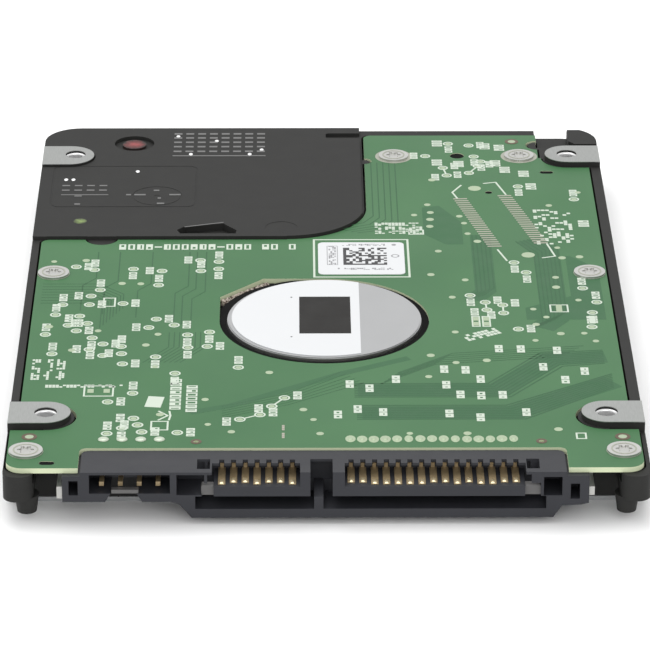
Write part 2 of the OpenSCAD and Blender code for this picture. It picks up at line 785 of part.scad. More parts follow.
housing_front = front + 0.3;
housing_back = front_wall_y - 0.08;
housing_top = pcb_top - 0.2;
wall_top_in = housing_top - 0.3;
tongue_z0 = 3.35;
tongue_z1 = 4.5;
tail_y = -41.9;
power_x = [for (k = [0:14]) 2.6 + contact_pitch * k];
signal_x = [for (k = [0:6]) -11.35 + contact_pitch * k];
jumper_x = [for (k = [0:3]) -24.3 + jumper_pitch * k];
knee_y = -45.3;
// The tongues reach a little past their first and last contacts.
signal_tongue = [signal_x[0] - 1.55, signal_x[6] + 0.83];
power_tongue = [power_x[0] - 0.7, power_x[14] + 1.62];
housing_left = -28.5;
housing_right = 28.2;
peg_t = 0.6;
pin_hole_r = 0.32;
jumper_hole_r = 0.4;

// A contact that steps up behind the mating face and turns up to the board at its tail
module bent_pin(x, w, t, z0, tip_y, tail_w, tail_top, grow = 0) {
    g = grow;
    lift = 5.05;
    block(x - w / 2 - g, tip_y - g, z0 - g, x + w / 2 + g, knee_y + t + g, z0 + t + g);
    block(x - tail_w / 2 - g, knee_y - g, z0 - g, x + tail_w / 2 + g, knee_y + t + g, lift + t + g);
    block(x - tail_w / 2 - g, knee_y - g, lift - g, x + tail_w / 2 + g, tail_y + t / 2 + g, lift + t + g);
    block(x - tail_w / 2 - g, tail_y - t / 2 - g, lift - g, x + tail_w / 2 + g, tail_y + t / 2 + g, tail_top + g);
}

// Signal contacts 1, 4 and 7 are longer; seven of the power contacts are shorter.
signal_long = [0, 3, 6];
power_short = [0, 1, 7, 8, 10, 13, 14];
function has(list, k) = len([for (v = list) if (v == k) v]) > 0;

module signal_set(grow = 0) for (k = [0:6])
    bent_pin(signal_x[k], contact_w, 0.13, tongue_z1, has(signal_long, k) ? -49.35 : -48.95, 0.4, pcb_z, grow);

module power_set(grow = 0) for (k = [0:14])
    bent_pin(power_x[k], contact_w, 0.13, tongue_z1, has(power_short, k) ? -48.95 : -49.35, 0.4,
             pcb_top, grow);

module jumper_set(grow = 0) for (x = jumper_x) bent_pin(x, 0.5, 0.5, 4.05, -48.6, 0.5,
                                                pcb_top + 0.15, grow);

module signal_contacts() color(gold) signal_set();
module power_contacts() color(gold) power_set();
module jumper_pins() color(gold) jumper_set();

// The housing seen from the front: X across, then height
module housing_face()
    polygon([[housing_left, pcb_z - 0.03], [housing_right, pcb_z - 0.03], [housing_right, 2.5],
             [27.4, 2.3], [25.3, 2.2], [24.4, 0.8], [-14.6, 0.8], [-15.9, 2.4], [-16.9, 2.7],
             [-19.9, 2.7], [-20.5, 3.7], [-23.3, 3.7], [-23.9, 2.7], [housing_left, 2.7]]);

// The part of the housing that rises into the board's cut-out
module housing_rise() {
    rrect(-26.55, housing_front, 25.75, front_wall_y - 0.15, 0.8);
    rect(-26.55, housing_front, 25.75, housing_front + 2);
}

// Runs a face shape back from the connector's front, between two depths
module faced(depth0, depth1) translate([0, housing_front + depth1, 0]) rotate([90, 0, 0])
    linear_extrude(depth1 - depth0) children();

module connector_housing() color(housing_grey) difference() {
    union() {
        faced(0, housing_back - housing_front) housing_face();
        block(-27, housing_back - 0.5, deck_z + 0.05, 25.7, -40.5, pcb_z - 0.02);
        slab(pcb_z - 0.1, housing_top) housing_rise();
    }
    // jumper window
    faced(-1, 4) rect(jumper_x[0] - 1.3, 3.7, jumper_x[3] + 1.31, wall_top_in);
    faced(-1, 4) rect(-16.2, 3.5, -13.2, wall_top_in);
    // peg holes
    faced(-1, 3) rect(-27.8, 3.5, -26.8, 5.2);
    faced(-1, 3) rect(26.2, 3, 27.2, 4.8);
    faced(-1, 4) rect(23.3, 3.4, 25.3, 5.6);
    // mating space around the two tongues
    faced(-1, 4.5) difference() {
        rect(-14.2, 1.85, 23.6, tongue_z0);
        rect(-1.4, 0, -0.4, 9);
    }
    faced(-1, 4.6) {
        rect(signal_tongue[0], tongue_z1, signal_tongue[1], wall_top_in);
        rect(power_tongue[0], tongue_z1, power_tongue[1], wall_top_in);
        rect(-13.5, 1.85, -12.2, 4.9);
        rect(21.3, 1.85, 23, 4.9);
        rect(-1.8, 3.3, 0.6, wall_top_in);
    }
    // the top wall is set back over the contacts
    block(signal_tongue[0] + 0.5, -60, tongue_z1, signal_tongue[1], -47.5, 9);
    block(power_tongue[0], -60, tongue_z1, power_tongue[1] - 0.6, -47.5, 9);
    block(-1.8, -60, 4.6, 0.6, -46.5, 9);
    for (x = concat(signal_x, power_x)) block(x - 0.28, -60, tongue_z1 + 0.3, x + 0.28, -46.6, 9);
    // windows beside the tongues
    block(-14, -48.9, wall_top_in - 2, -12.6, -46.5, 9);
    block(21.5, -48.9, wall_top_in - 2, 22.9, -46.5, 9);
    signal_set(0.01);
    power_set(0.01);
    jumper_set(0.01);
}

module connector_pegs() color([0.8, 0.8, 0.78]) {
    peg_back = knee_y + 0.3;
    block(housing_left - peg_t, housing_front + 0.3, 3, housing_left, peg_back, 4.4);
    block(housing_left - peg_t, peg_back - 1.2, 3.2, housing_left, peg_back, pcb_z);
    block(housing_right, housing_front + 0.3, 3.3, housing_right + peg_t, peg_back, 4.3);
    block(housing_right, peg_back - 1.2, 3.4, housing_right + peg_t, peg_back, pcb_z);
}

laid_out() {
    base_casting();
    top_cover();
    cover_gasket();
    cover_screws();
    cover_label();
    motor_bracket();
    motor_label();
    bearing_sleeve();
    stator_core();
    stator_coils();
    motor_flex();
    spindle_shaft();
    rotor_hub();
    rotor_magnet();
    platter();
    disk_clamp();
    clamp_screw();
    actuator_arm();
    voice_coil();
    pivot_sleeve();
    pivot_bearings();
    pivot_shaft();
    pivot_screw();
    suspensions();
    head_sliders();
    preamp_chip();
    head_flex();
    flex_bracket();
    head_connector();
    vcm_lower_yoke();
    vcm_upper_yoke();
    vcm_magnets();
    crash_stops();
    latch_lever();
    latch_pin();
    ramp();
    ramp_screw();
    recirculation_filter();
    breather_filter();
    desiccant_pack();
    seal_plug();
    pcb();
    pcb_insulator();
    pcb_screws();
    controller_chip();
    motor_driver_chip();
    memory_chip();
    flash_chip();
    capacitors();
    inductors();
    crystal();
    shock_sensors();
    pcb_label();
    connector_housing();
    signal_contacts();
    power_contacts();
    jumper_pins();
    connector_pegs();
}
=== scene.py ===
"""The looks of a 2.5-inch hard disk drive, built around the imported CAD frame.

Lengths and places in this script are millimetres in the drive's own frame, unless a name says otherwise.
X runs across the drive, Y from the connector end to the rear, and Z out of the circuit board.
"""
import json
import math
import random

import bpy
from mathutils import Matrix, Vector

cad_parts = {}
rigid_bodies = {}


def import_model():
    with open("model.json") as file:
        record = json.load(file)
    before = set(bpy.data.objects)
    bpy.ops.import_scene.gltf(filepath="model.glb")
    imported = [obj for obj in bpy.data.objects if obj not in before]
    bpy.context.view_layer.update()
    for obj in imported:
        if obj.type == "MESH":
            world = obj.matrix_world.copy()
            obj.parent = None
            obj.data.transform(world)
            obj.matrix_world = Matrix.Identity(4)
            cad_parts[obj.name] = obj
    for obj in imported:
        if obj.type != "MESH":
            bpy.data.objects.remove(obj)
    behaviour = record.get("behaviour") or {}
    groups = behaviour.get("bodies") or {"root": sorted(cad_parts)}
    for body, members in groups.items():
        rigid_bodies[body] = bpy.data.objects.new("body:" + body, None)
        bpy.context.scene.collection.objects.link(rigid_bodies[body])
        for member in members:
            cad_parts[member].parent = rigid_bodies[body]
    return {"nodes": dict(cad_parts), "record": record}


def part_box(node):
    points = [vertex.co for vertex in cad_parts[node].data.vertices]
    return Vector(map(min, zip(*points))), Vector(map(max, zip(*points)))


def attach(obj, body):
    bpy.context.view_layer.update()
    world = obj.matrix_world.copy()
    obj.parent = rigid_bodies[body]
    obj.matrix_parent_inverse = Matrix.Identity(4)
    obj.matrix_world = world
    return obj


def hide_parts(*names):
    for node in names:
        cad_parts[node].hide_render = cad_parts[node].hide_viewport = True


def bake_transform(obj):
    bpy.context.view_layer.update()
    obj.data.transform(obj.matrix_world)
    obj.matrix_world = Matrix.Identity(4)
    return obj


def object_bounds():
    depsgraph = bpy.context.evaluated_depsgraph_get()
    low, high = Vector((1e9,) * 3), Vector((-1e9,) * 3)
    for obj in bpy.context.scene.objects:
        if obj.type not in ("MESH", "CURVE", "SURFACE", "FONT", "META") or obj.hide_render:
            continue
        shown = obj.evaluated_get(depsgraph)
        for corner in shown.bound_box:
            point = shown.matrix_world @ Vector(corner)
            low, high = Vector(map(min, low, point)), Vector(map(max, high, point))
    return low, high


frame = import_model()
cad_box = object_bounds()

MM = 0.001
BODY = "drive_body"
rng = random.Random(7)


def box_mm(node):
    """A CAD node's lowest and highest corners, in millimetres."""
    low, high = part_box(node)
    return Vector(low) / MM, Vector(high) / MM


def box_mid(node):
    """The middle of a CAD node's box, in millimetres."""
    low, high = box_mm(node)
    return (low + high) / 2


def meshes_of(node):
    """The mesh objects of a CAD node."""
    holder = frame["nodes"][node]
    return [obj for obj in (holder, *holder.children_recursive) if obj.type == "MESH"]


def solid_middles(node):
    """The middle, seen from above, of each solid of a CAD node whose solids lie well apart."""
    apart = 4.0
    groups = []
    for obj in meshes_of(node):
        for vertex in obj.data.vertices:
            point = (obj.matrix_world @ vertex.co / MM).to_2d()
            near = next((g for g in groups if (g[0] - point).length < apart), None)
            if near is None:
                near = (point, [], [])
                groups.append(near)
            near[1].append(point.x)
            near[2].append(point.y)
    return [((min(xs) + max(xs)) / 2, (min(ys) + max(ys)) / 2) for _, xs, ys in groups]


# Faces and places of the CAD that the looks are built on
BOARD_TOP = box_mm("pcb")[1].z
PAD_TOP = box_mm("base_casting")[1].z
ROOF_TOP = PAD_TOP - 0.25
SPINDLE = box_mid("motor_bracket")
PIVOT = (-20.3, 27.2)
ROOF_SPOT = (-29.4, 19.2, 0.85)  # its middle and its radius
BRACKET_TOP = box_mm("motor_bracket")[1].z
LABEL_LOW, LABEL_HIGH = box_mm("pcb_label")
COVER_LABEL_FACE = box_mm("cover_label")[0].z
SINK = 0.004  # how far a thin layer reaches into the face below it


def on_face(face, rise):
    """The low and high ends of a thin layer on a face, sunk a little into it."""
    return face - SINK, face + rise


# ---- camera, lights and floor ----

def add_camera():
    """A long lens, a little above the drive, square to its connector end."""
    place = Vector((-4.0065, -480.4325, 214.367))
    azimuth, elevation, roll = (math.radians(a) for a in (0.4975, 23.904, 0.106))
    forward = Vector((math.sin(azimuth) * math.cos(elevation),
                      math.cos(azimuth) * math.cos(elevation), -math.sin(elevation)))
    right = forward.cross(Vector((0, 0, 1))).normalized()
    up = right.cross(forward)
    right, up = (math.cos(roll) * right + math.sin(roll) * up,
                 math.cos(roll) * up - math.sin(roll) * right)
    data = bpy.data.cameras.new("camera")
    data.lens, data.sensor_width = 246.77, 36
    data.clip_start, data.clip_end = 0.05, 10
    camera = bpy.data.objects.new("camera", data)
    turn = Matrix((right, up, -forward)).transposed().to_4x4()
    camera.matrix_world = Matrix.Translation(place * MM) @ turn
    bpy.context.collection.objects.link(camera)
    bpy.context.scene.camera = camera


def add_light(name, place, aim, size, watts):
    """A white rectangular soft box that faces a point."""
    data = bpy.data.lights.new(name, "AREA")
    data.shape, data.size, data.size_y = "RECTANGLE", size[0] * MM, size[1] * MM
    data.energy = watts
    light = bpy.data.objects.new(name, data)
    light.location = Vector(place) * MM
    light.rotation_euler = (Vector(aim) - Vector(place)).to_track_quat("-Z", "Y").to_euler()
    bpy.context.collection.objects.link(light)


def add_studio():
    """A white room: a pale floor, a white world and three soft boxes."""
    world = bpy.data.worlds.new("world")
    bpy.context.scene.world = world
    world.use_nodes = True
    back = world.node_tree.nodes["Background"]
    back.inputs["Color"].default_value = (1, 1, 1, 1)
    back.inputs["Strength"].default_value = 1.02
    add_light("top_box", (-60, 130, 420), (0, 10, 0), (420, 300), 0.85)
    add_light("front_box", (60, -420, 210), (0, -20, 0), (420, 160), 0.5)
    add_light("left_box", (-380, 20, 160), (0, 0, 0), (240, 160), 0.22)
    bpy.context.scene.view_settings.view_transform = "Standard"
    mesh = bpy.data.meshes.new("floor")
    reach, gap = 3.0, 0.00005  # metres
    mesh.from_pydata([(-reach, -reach, 0), (reach, -reach, 0), (reach, reach, 0), (-reach, reach, 0)],
                     [], [(0, 1, 2, 3)])
    floor = bpy.data.objects.new("floor", mesh)
    floor.location.z = cad_box[0][2] - gap
    bpy.context.collection.objects.link(floor)
    floor.data.materials.append(plain_white("floor_white"))


# ---- materials ----

class Surface:
    """A Principled material whose textures use the object's own coordinates in millimetres."""

    def __init__(self, name, metal=0.0, coat=0.0, coat_rough=0.1, specular=0.5):
        self.material = bpy.data.materials.new(name)
        self.material.use_nodes = True
        self.tree = self.material.node_tree
        self.shader = self.tree.nodes["Principled BSDF"]
        self.shader.inputs["Metallic"].default_value = metal
        self.shader.inputs["Coat Weight"].default_value = coat
        self.shader.inputs["Coat Roughness"].default_value = coat_rough
        self.shader.inputs["Specular IOR Level"].default_value = specular
        self.coords = self.tree.nodes.new("ShaderNodeTexCoord")
        self.place = self.mapping(self.coords.outputs["Object"], scale=(1 / MM,) * 3)

    def join(self, socket, value):
        """Sets an input to a number, a colour or another node's output."""
        if isinstance(value, bpy.types.NodeSocket):
            self.tree.links.new(value, socket)
        else:
            socket.default_value = (*value, 1) if isinstance(value, tuple) and len(value) == 3 else value

    def node(self, kind, out, **inputs):
        """Adds a node, sets its inputs by name and gives one of its outputs."""
        node = self.tree.nodes.new(kind)
        for key, value in inputs.items():
            self.join(node.inputs[key], value)
        return node.outputs[out]

    def mapping(self, vector, scale=(1, 1, 1), shift=(0, 0, 0)):
        """Scales and shifts a vector."""
        node = self.tree.nodes.new("ShaderNodeMapping")
        node.inputs["Scale"].default_value = scale
        node.inputs["Location"].default_value = shift
        self.join(node.inputs["Vector"], vector)
        return node.outputs["Vector"]

    def noise(self, scale, detail=3.0, stretch=(1, 1, 1), vector=None):
        """A noise whose features are about 1/scale millimetres wide."""
        where = self.mapping(vector or self.place, scale=stretch)
        return self.node("ShaderNodeTexNoise", "Fac", Vector=where, Scale=scale, Detail=detail)

    def math(self, operation, a, b=0.0):
        """One step of arithmetic on numbers or outputs."""
        node = self.tree.nodes.new("ShaderNodeMath")
        node.operation = operation
        for socket, value in zip(node.inputs, (a, b)):
            self.join(socket, value)
        return node.outputs["Value"]

    def weigh(self, first, share, second):
        """A sum of two values: a share of the first, and the rest of the second."""
        return self.math("ADD", self.math("MULTIPLY", first, share),
                         self.math("MULTIPLY", second, 1 - share))

    def from_axis(self, centre):
        """The distance from an upright axis, in millimetres."""
        x, y, _ = self.axes(self.mapping(self.place, shift=(-centre[0], -centre[1], 0)))
        return self.math("SQRT", self.math("ADD", self.math("MULTIPLY", x, x),
                                           self.math("MULTIPLY", y, y)))

    def span(self, value, low, high, to_low, to_high):
        """Maps a range of a value onto another range, and holds it there."""
        node = self.tree.nodes.new("ShaderNodeMapRange")
        for key, given in (("Value", value), ("From Min", low), ("From Max", high),
                           ("To Min", to_low), ("To Max", to_high)):
            self.join(node.inputs[key], given)
        return node.outputs["Result"]

    def blend(self, share, first, second):
        """A mix of two colours, by share."""
        factor_input, first_input, second_input, colour_output = 0, 6, 7, 2
        node = self.tree.nodes.new("ShaderNodeMix")
        node.data_type = "RGBA"
        self.join(node.inputs[factor_input], share)
        self.join(node.inputs[first_input], first)
        self.join(node.inputs[second_input], second)
        return node.outputs[colour_output]

    def axes(self, vector):
        """A vector's X, Y and Z."""
        node = self.tree.nodes.new("ShaderNodeSeparateXYZ")
        self.join(node.inputs[0], vector)
        return node.outputs

    def bump(self, height, depth):
        """Bump from a height between 0 and 1, and its depth in millimetres."""
        node = self.tree.nodes.new("ShaderNodeBump")
        node.inputs["Strength"].default_value = 1.0
        node.inputs["Distance"].default_value = depth * MM
        self.join(node.inputs["Height"], height)
        if self.shader.inputs["Normal"].is_linked:
            self.join(node.inputs["Normal"], self.shader.inputs["Normal"].links[0].from_socket)
        self.join(self.shader.inputs["Normal"], node.outputs["Normal"])

    def colour(self, value):
        self.join(self.shader.inputs["Base Color"], value)

    def rough(self, value):
        self.join(self.shader.inputs["Roughness"], value)


def shade(colour, factor):
    """A colour made darker or lighter."""
    return tuple(min(1.0, c * factor) for c in colour)


def plain_white(name):
    """Plain white card."""
    s = Surface(name)
    s.colour(s.blend(s.noise(0.02), (0.92, 0.92, 0.92), (0.95, 0.95, 0.95)))
    s.rough(0.85)
    return s.material


def speckled(name, colour, rough, metal=0.0, spread=0.12, grain=6.0, depth=0.004, coat=0.0,
             specular=0.5):
    """Paint, moulded plastic, ceramic and film: mottled colour and a fine grain."""
    s = Surface(name, metal=metal, coat=coat, specular=specular)
    broad, fine = s.noise(0.35, detail=4.0), s.noise(grain, detail=5.0)
    s.colour(s.blend(s.weigh(broad, 0.6, fine), shade(colour, 1 - spread), shade(colour, 1 + spread)))
    s.rough(s.span(broad, 0.3, 0.7, rough * 0.9, min(1.0, rough * 1.12)))
    s.bump(fine, depth)
    return s.material


def brushed(name, colour, rough, stretch=(0.06, 1, 1)):
    """Rolled or brushed metal with fine lines along one axis."""
    s = Surface(name, metal=1.0)
    lines = s.noise(9.0, detail=6.0, stretch=stretch)
    cloud = s.noise(0.15, detail=3.0)
    s.colour(s.blend(s.weigh(lines, 0.6, cloud), shade(colour, 0.9), shade(colour, 1.1)))
    s.rough(s.span(lines, 0.35, 0.65, rough * 0.8, rough * 1.25))
    s.bump(lines, 0.002)
    return s.material


def turned(name, colour, rough, centre, pitch=0.09, spread=0.08, depth=0.0015):
    """Lathe-turned metal with fine grooves around an axis along Z."""
    s = Surface(name, metal=1.0)
    ring = s.node("ShaderNodeCombineXYZ", "Vector", X=s.from_axis(centre))
    grooves = s.noise(1 / pitch, detail=4.0, vector=ring)
    cloud = s.noise(0.2, detail=2.0)
    s.colour(s.blend(s.weigh(grooves, 0.5, cloud), shade(colour, 1 - spread), shade(colour, 1 + spread)))
    s.rough(s.span(grooves, 0.3, 0.7, rough * 0.85, rough * 1.2))
    s.bump(grooves, depth)
    return s.material


def casting_black(name):
    """Black coating on cast aluminium, machined bare on the faces of the mounting pads."""
    s = Surface(name, specular=0.2)
    bare_depth = 0.05
    grain, lumps = s.noise(9.0, detail=6.0), s.noise(0.5, detail=3.0)
    paint = s.blend(s.weigh(grain, 0.5, lumps), (0.013, 0.013, 0.0125), (0.024, 0.024, 0.0225))
    swirl = s.noise(7.0, detail=5.0, stretch=(1, 0.12, 1))
    metal = s.blend(swirl, (0.30, 0.31, 0.30), (0.42, 0.43, 0.42))
    height = s.axes(s.place)[2]
    edge = s.math("ADD", height, s.math("MULTIPLY", s.noise(1.5), 0.06))
    bare = s.math("GREATER_THAN", edge, PAD_TOP - bare_depth)
    s.colour(s.blend(bare, paint, metal))
    s.join(s.shader.inputs["Metallic"], bare)
    s.rough(s.span(bare, 0, 1, 0.62, 0.36))
    s.bump(grain, 0.006)
    return s.material


def board_mask(name):
    """Green solder mask over laminate, whose cut edges show as cream."""
    s = Surface(name, coat=0.04, coat_rough=0.3, specular=0.2)
    cloud, patch, weave = s.noise(0.12, detail=3.0), s.noise(0.05), s.noise(12.0, detail=2.0)
    share = s.span(s.weigh(cloud, 0.5, patch), 0.35, 0.65, 0, 1)
    green = s.blend(share, (0.034, 0.123, 0.044), (0.052, 0.150, 0.060))
    edge = s.blend(weave, (0.46, 0.52, 0.33), (0.62, 0.66, 0.47))
    upright = s.math("ABSOLUTE", s.axes(s.coords.outputs["Normal"])[2])
    s.colour(s.blend(s.math("GREATER_THAN", upright, 0.5), edge, green))
    s.rough(s.span(cloud, 0.3, 0.7, 0.38, 0.5))
    s.bump(weave, 0.002)
    return s.material


def coil_wire(name, colour):
    """Enamelled wire laid side by side."""
    s = Surface(name, metal=0.7, coat=0.4)
    wire = 0.12
    height = s.axes(s.place)[2]
    # the colour runs darker between the turns and lighter on their crests: painted shade and highlight
    # of the round wire
    turns = s.math("SINE", s.math("MULTIPLY", height, 2 * math.pi / wire))
    s.colour(s.blend(s.span(turns, -1, 1, 0, 1), shade(colour, 0.6), shade(colour, 1.15)))
    s.rough(s.span(s.noise(3.0), 0.3, 0.7, 0.25, 0.4))
    s.bump(s.span(turns, -1, 1, 0, 1), 0.02)
    return s.material


def felt(name, colour):
    """Filter cloth of matted fibres."""
    s = Surface(name, specular=0.2)
    fibres = s.noise(14.0, detail=8.0, stretch=(1, 0.3, 1))
    s.colour(s.blend(fibres, shade(colour, 0.75), shade(colour, 1.08)))
    s.rough(s.span(fibres, 0.3, 0.7, 0.85, 1.0))
    s.bump(fibres, 0.03)
    return s.material


def gritty(name, dark, light):
    """Torn foam: dark pores between pale crumbs."""
    s = Surface(name, specular=0.1)
    crumbs, fine = s.noise(2.6, detail=6.0), s.noise(9.0, detail=4.0)
    s.colour(s.blend(s.span(s.weigh(crumbs, 0.7, fine), 0.42, 0.58, 0, 1), dark, light))
    s.rough(s.span(fine, 0.3, 0.7, 0.85, 1.0))
    s.bump(crumbs, 0.12)
    return s.material


def fading(name, middle, rim, centre, reach):
    """Soft plastic whose colour darkens from its middle to its rim; on the seal this darkening is
    painted shade of the recess it sits in.
    """
    s = Surface(name, specular=0.3)
    uneven = s.math("ADD", s.from_axis(centre), s.span(s.noise(1.2), 0.3, 0.7, -0.25, 0.25))
    s.colour(s.blend(s.span(uneven, 0.15 * reach, reach, 0, 1), middle, rim))
    s.rough(s.span(s.noise(3.0), 0.3, 0.7, 0.45, 0.65))
    s.bump(s.noise(4.0), 0.01)
    return s.material


def make_materials():
    """The materials, by name: one for each slot of the record, and those of the looks alone."""
    spindle = (SPINDLE.x, SPINDLE.y)
    seal = box_mid("seal_plug")
    spot = ROOF_SPOT[:2]
    made = {}

    def add(maker, name, *settings, **options):
        made[name] = maker(name, *settings, **options)

    add(casting_black, "casting_paint")
    add(brushed, "cover_steel", (0.60, 0.61, 0.62), 0.34, stretch=(1, 0.05, 1))
    add(speckled, "gasket_rubber", (0.02, 0.02, 0.02), 0.8)
    add(speckled, "screw_steel", (0.52, 0.52, 0.50), 0.3, metal=0.85, grain=3, depth=0.01)
    add(speckled, "white_paper", (0.60, 0.61, 0.62), 0.55, spread=0.02, grain=4, depth=0.002)
    add(turned, "bracket_metal", (0.44, 0.445, 0.45), 0.34, spindle, pitch=0.12)
    add(turned, "bearing_bronze", (0.60, 0.42, 0.20), 0.3, spindle)
    add(speckled, "magnet_metal", (0.36, 0.36, 0.38), 0.35, metal=0.9, grain=9)
    add(coil_wire, "winding_copper", (0.62, 0.27, 0.11))
    add(speckled, "flex_film", (0.42, 0.2, 0.05), 0.35, coat=0.5, spread=0.2)
    add(turned, "turned_steel", (0.62, 0.63, 0.65), 0.2, PIVOT)
    add(turned, "machined_aluminium", (0.66, 0.67, 0.69), 0.27, spindle)
    add(turned, "disk_mirror", (0.78, 0.78, 0.79), 0.05, spindle, pitch=0.4, spread=0.02, depth=0.0001)
    add(speckled, "slider_ceramic", (0.03, 0.03, 0.032), 0.2)
    add(brushed, "yoke_steel", (0.48, 0.49, 0.50), 0.3)
    add(speckled, "chip_plastic", (0.02, 0.02, 0.021), 0.6, grain=14, depth=0.006)
    add(speckled, "black_plastic", (0.025, 0.025, 0.027), 0.5)
    add(speckled, "ivory_plastic", (0.62, 0.57, 0.44), 0.35, coat=0.2, spread=0.05)
    add(felt, "filter_cloth", (0.72, 0.72, 0.70))
    # the seal's colour darkens towards its rim: painted shade of the recess around it
    add(fading, "seal_red", (0.25, 0.050, 0.050), (0.020, 0.012, 0.011), seal, 1.45)
    add(board_mask, "board_green")
    add(felt, "insulator_foam", (0.05, 0.05, 0.055))
    add(speckled, "ceramic_tan", (0.36, 0.25, 0.15), 0.45)
    add(brushed, "crystal_can", (0.6, 0.6, 0.6), 0.3)
    add(speckled, "housing_plastic", (0.026, 0.027, 0.032), 0.5, specular=0.25, spread=0.22, grain=5,
        depth=0.008)
    add(speckled, "contact_gold", (0.33, 0.25, 0.14), 0.4, metal=0.4, spread=0.3, grain=4, specular=0.7)
    add(speckled, "contact_tip", (0.80, 0.68, 0.44), 0.28, metal=0.7, spread=0.08)
    add(speckled, "peg_tin", (0.42, 0.42, 0.40), 0.35, metal=0.5)
    add(speckled, "end_plastic", (0.085, 0.083, 0.082), 0.45, spread=0.2)
    add(speckled, "white_ink", (0.50, 0.565, 0.48), 0.6, spread=0.06, grain=12)
    add(speckled, "tin", (0.34, 0.42, 0.28), 0.4, metal=0.2, spread=0.2, grain=5, depth=0.01)
    add(speckled, "land_tin", (0.34, 0.35, 0.29), 0.4, metal=0.4, spread=0.15, grain=5)
    add(speckled, "solder", (0.46, 0.52, 0.42), 0.3, metal=0.3, spread=0.15, grain=3, depth=0.02)
    add(speckled, "pad_tan", (0.34, 0.33, 0.27), 0.45, metal=0.3)
    add(speckled, "trace_green", (0.024, 0.092, 0.036), 0.45, spread=0.1, specular=0.2)
    add(speckled, "plane_green", (0.032, 0.112, 0.045), 0.45, specular=0.2)
    # black with little shine, for painted shade in the board's slots and holes and the gap around the
    # motor
    add(speckled, "deep_black", (0.006, 0.006, 0.006), 0.9, specular=0.1)
    add(speckled, "black_ink", (0.03, 0.03, 0.032), 0.6)
    add(speckled, "grey_ink", (0.25, 0.25, 0.26), 0.6)
    add(speckled, "roof_mark", (0.12, 0.12, 0.118), 0.5, spread=0.3)
    add(speckled, "bright_mark", (0.8, 0.8, 0.8), 0.3, metal=0.4)
    add(speckled, "dark_film", (0.026, 0.025, 0.024), 0.75, spread=0.15, specular=0.15)
    add(fading, "roof_spot", (0.20, 0.28, 0.09), (0.016, 0.018, 0.012), spot, ROOF_SPOT[2])
    add(gritty, "gritty_foam", (0.05, 0.035, 0.025), (0.50, 0.44, 0.38))
    add(speckled, "copper_pad", (0.10, 0.065, 0.040), 0.5, metal=0.2, spread=0.3)
    add(speckled, "thread_metal", (0.86, 0.86, 0.86), 0.3, metal=0.6, spread=0.06)
    return made


def finish_cad_nodes(materials):
    """Gives every CAD node the material of its slot in the record."""
    for part in frame["record"]["subparts"]:
        for obj in meshes_of(part["node"]):
            obj.data.materials.clear()
            obj.data.materials.append(materials[part["material_slot"]])


# ---- mesh building ----

def oval(x, y, radius, stretch, z, sides=20):
    """A level ring of points; stretch lengthens it along Y."""
    return [(x + radius * math.cos(2 * math.pi * k / sides),
             y + stretch * radius * math.sin(2 * math.pi * k / sides), z) for k in range(sides)]


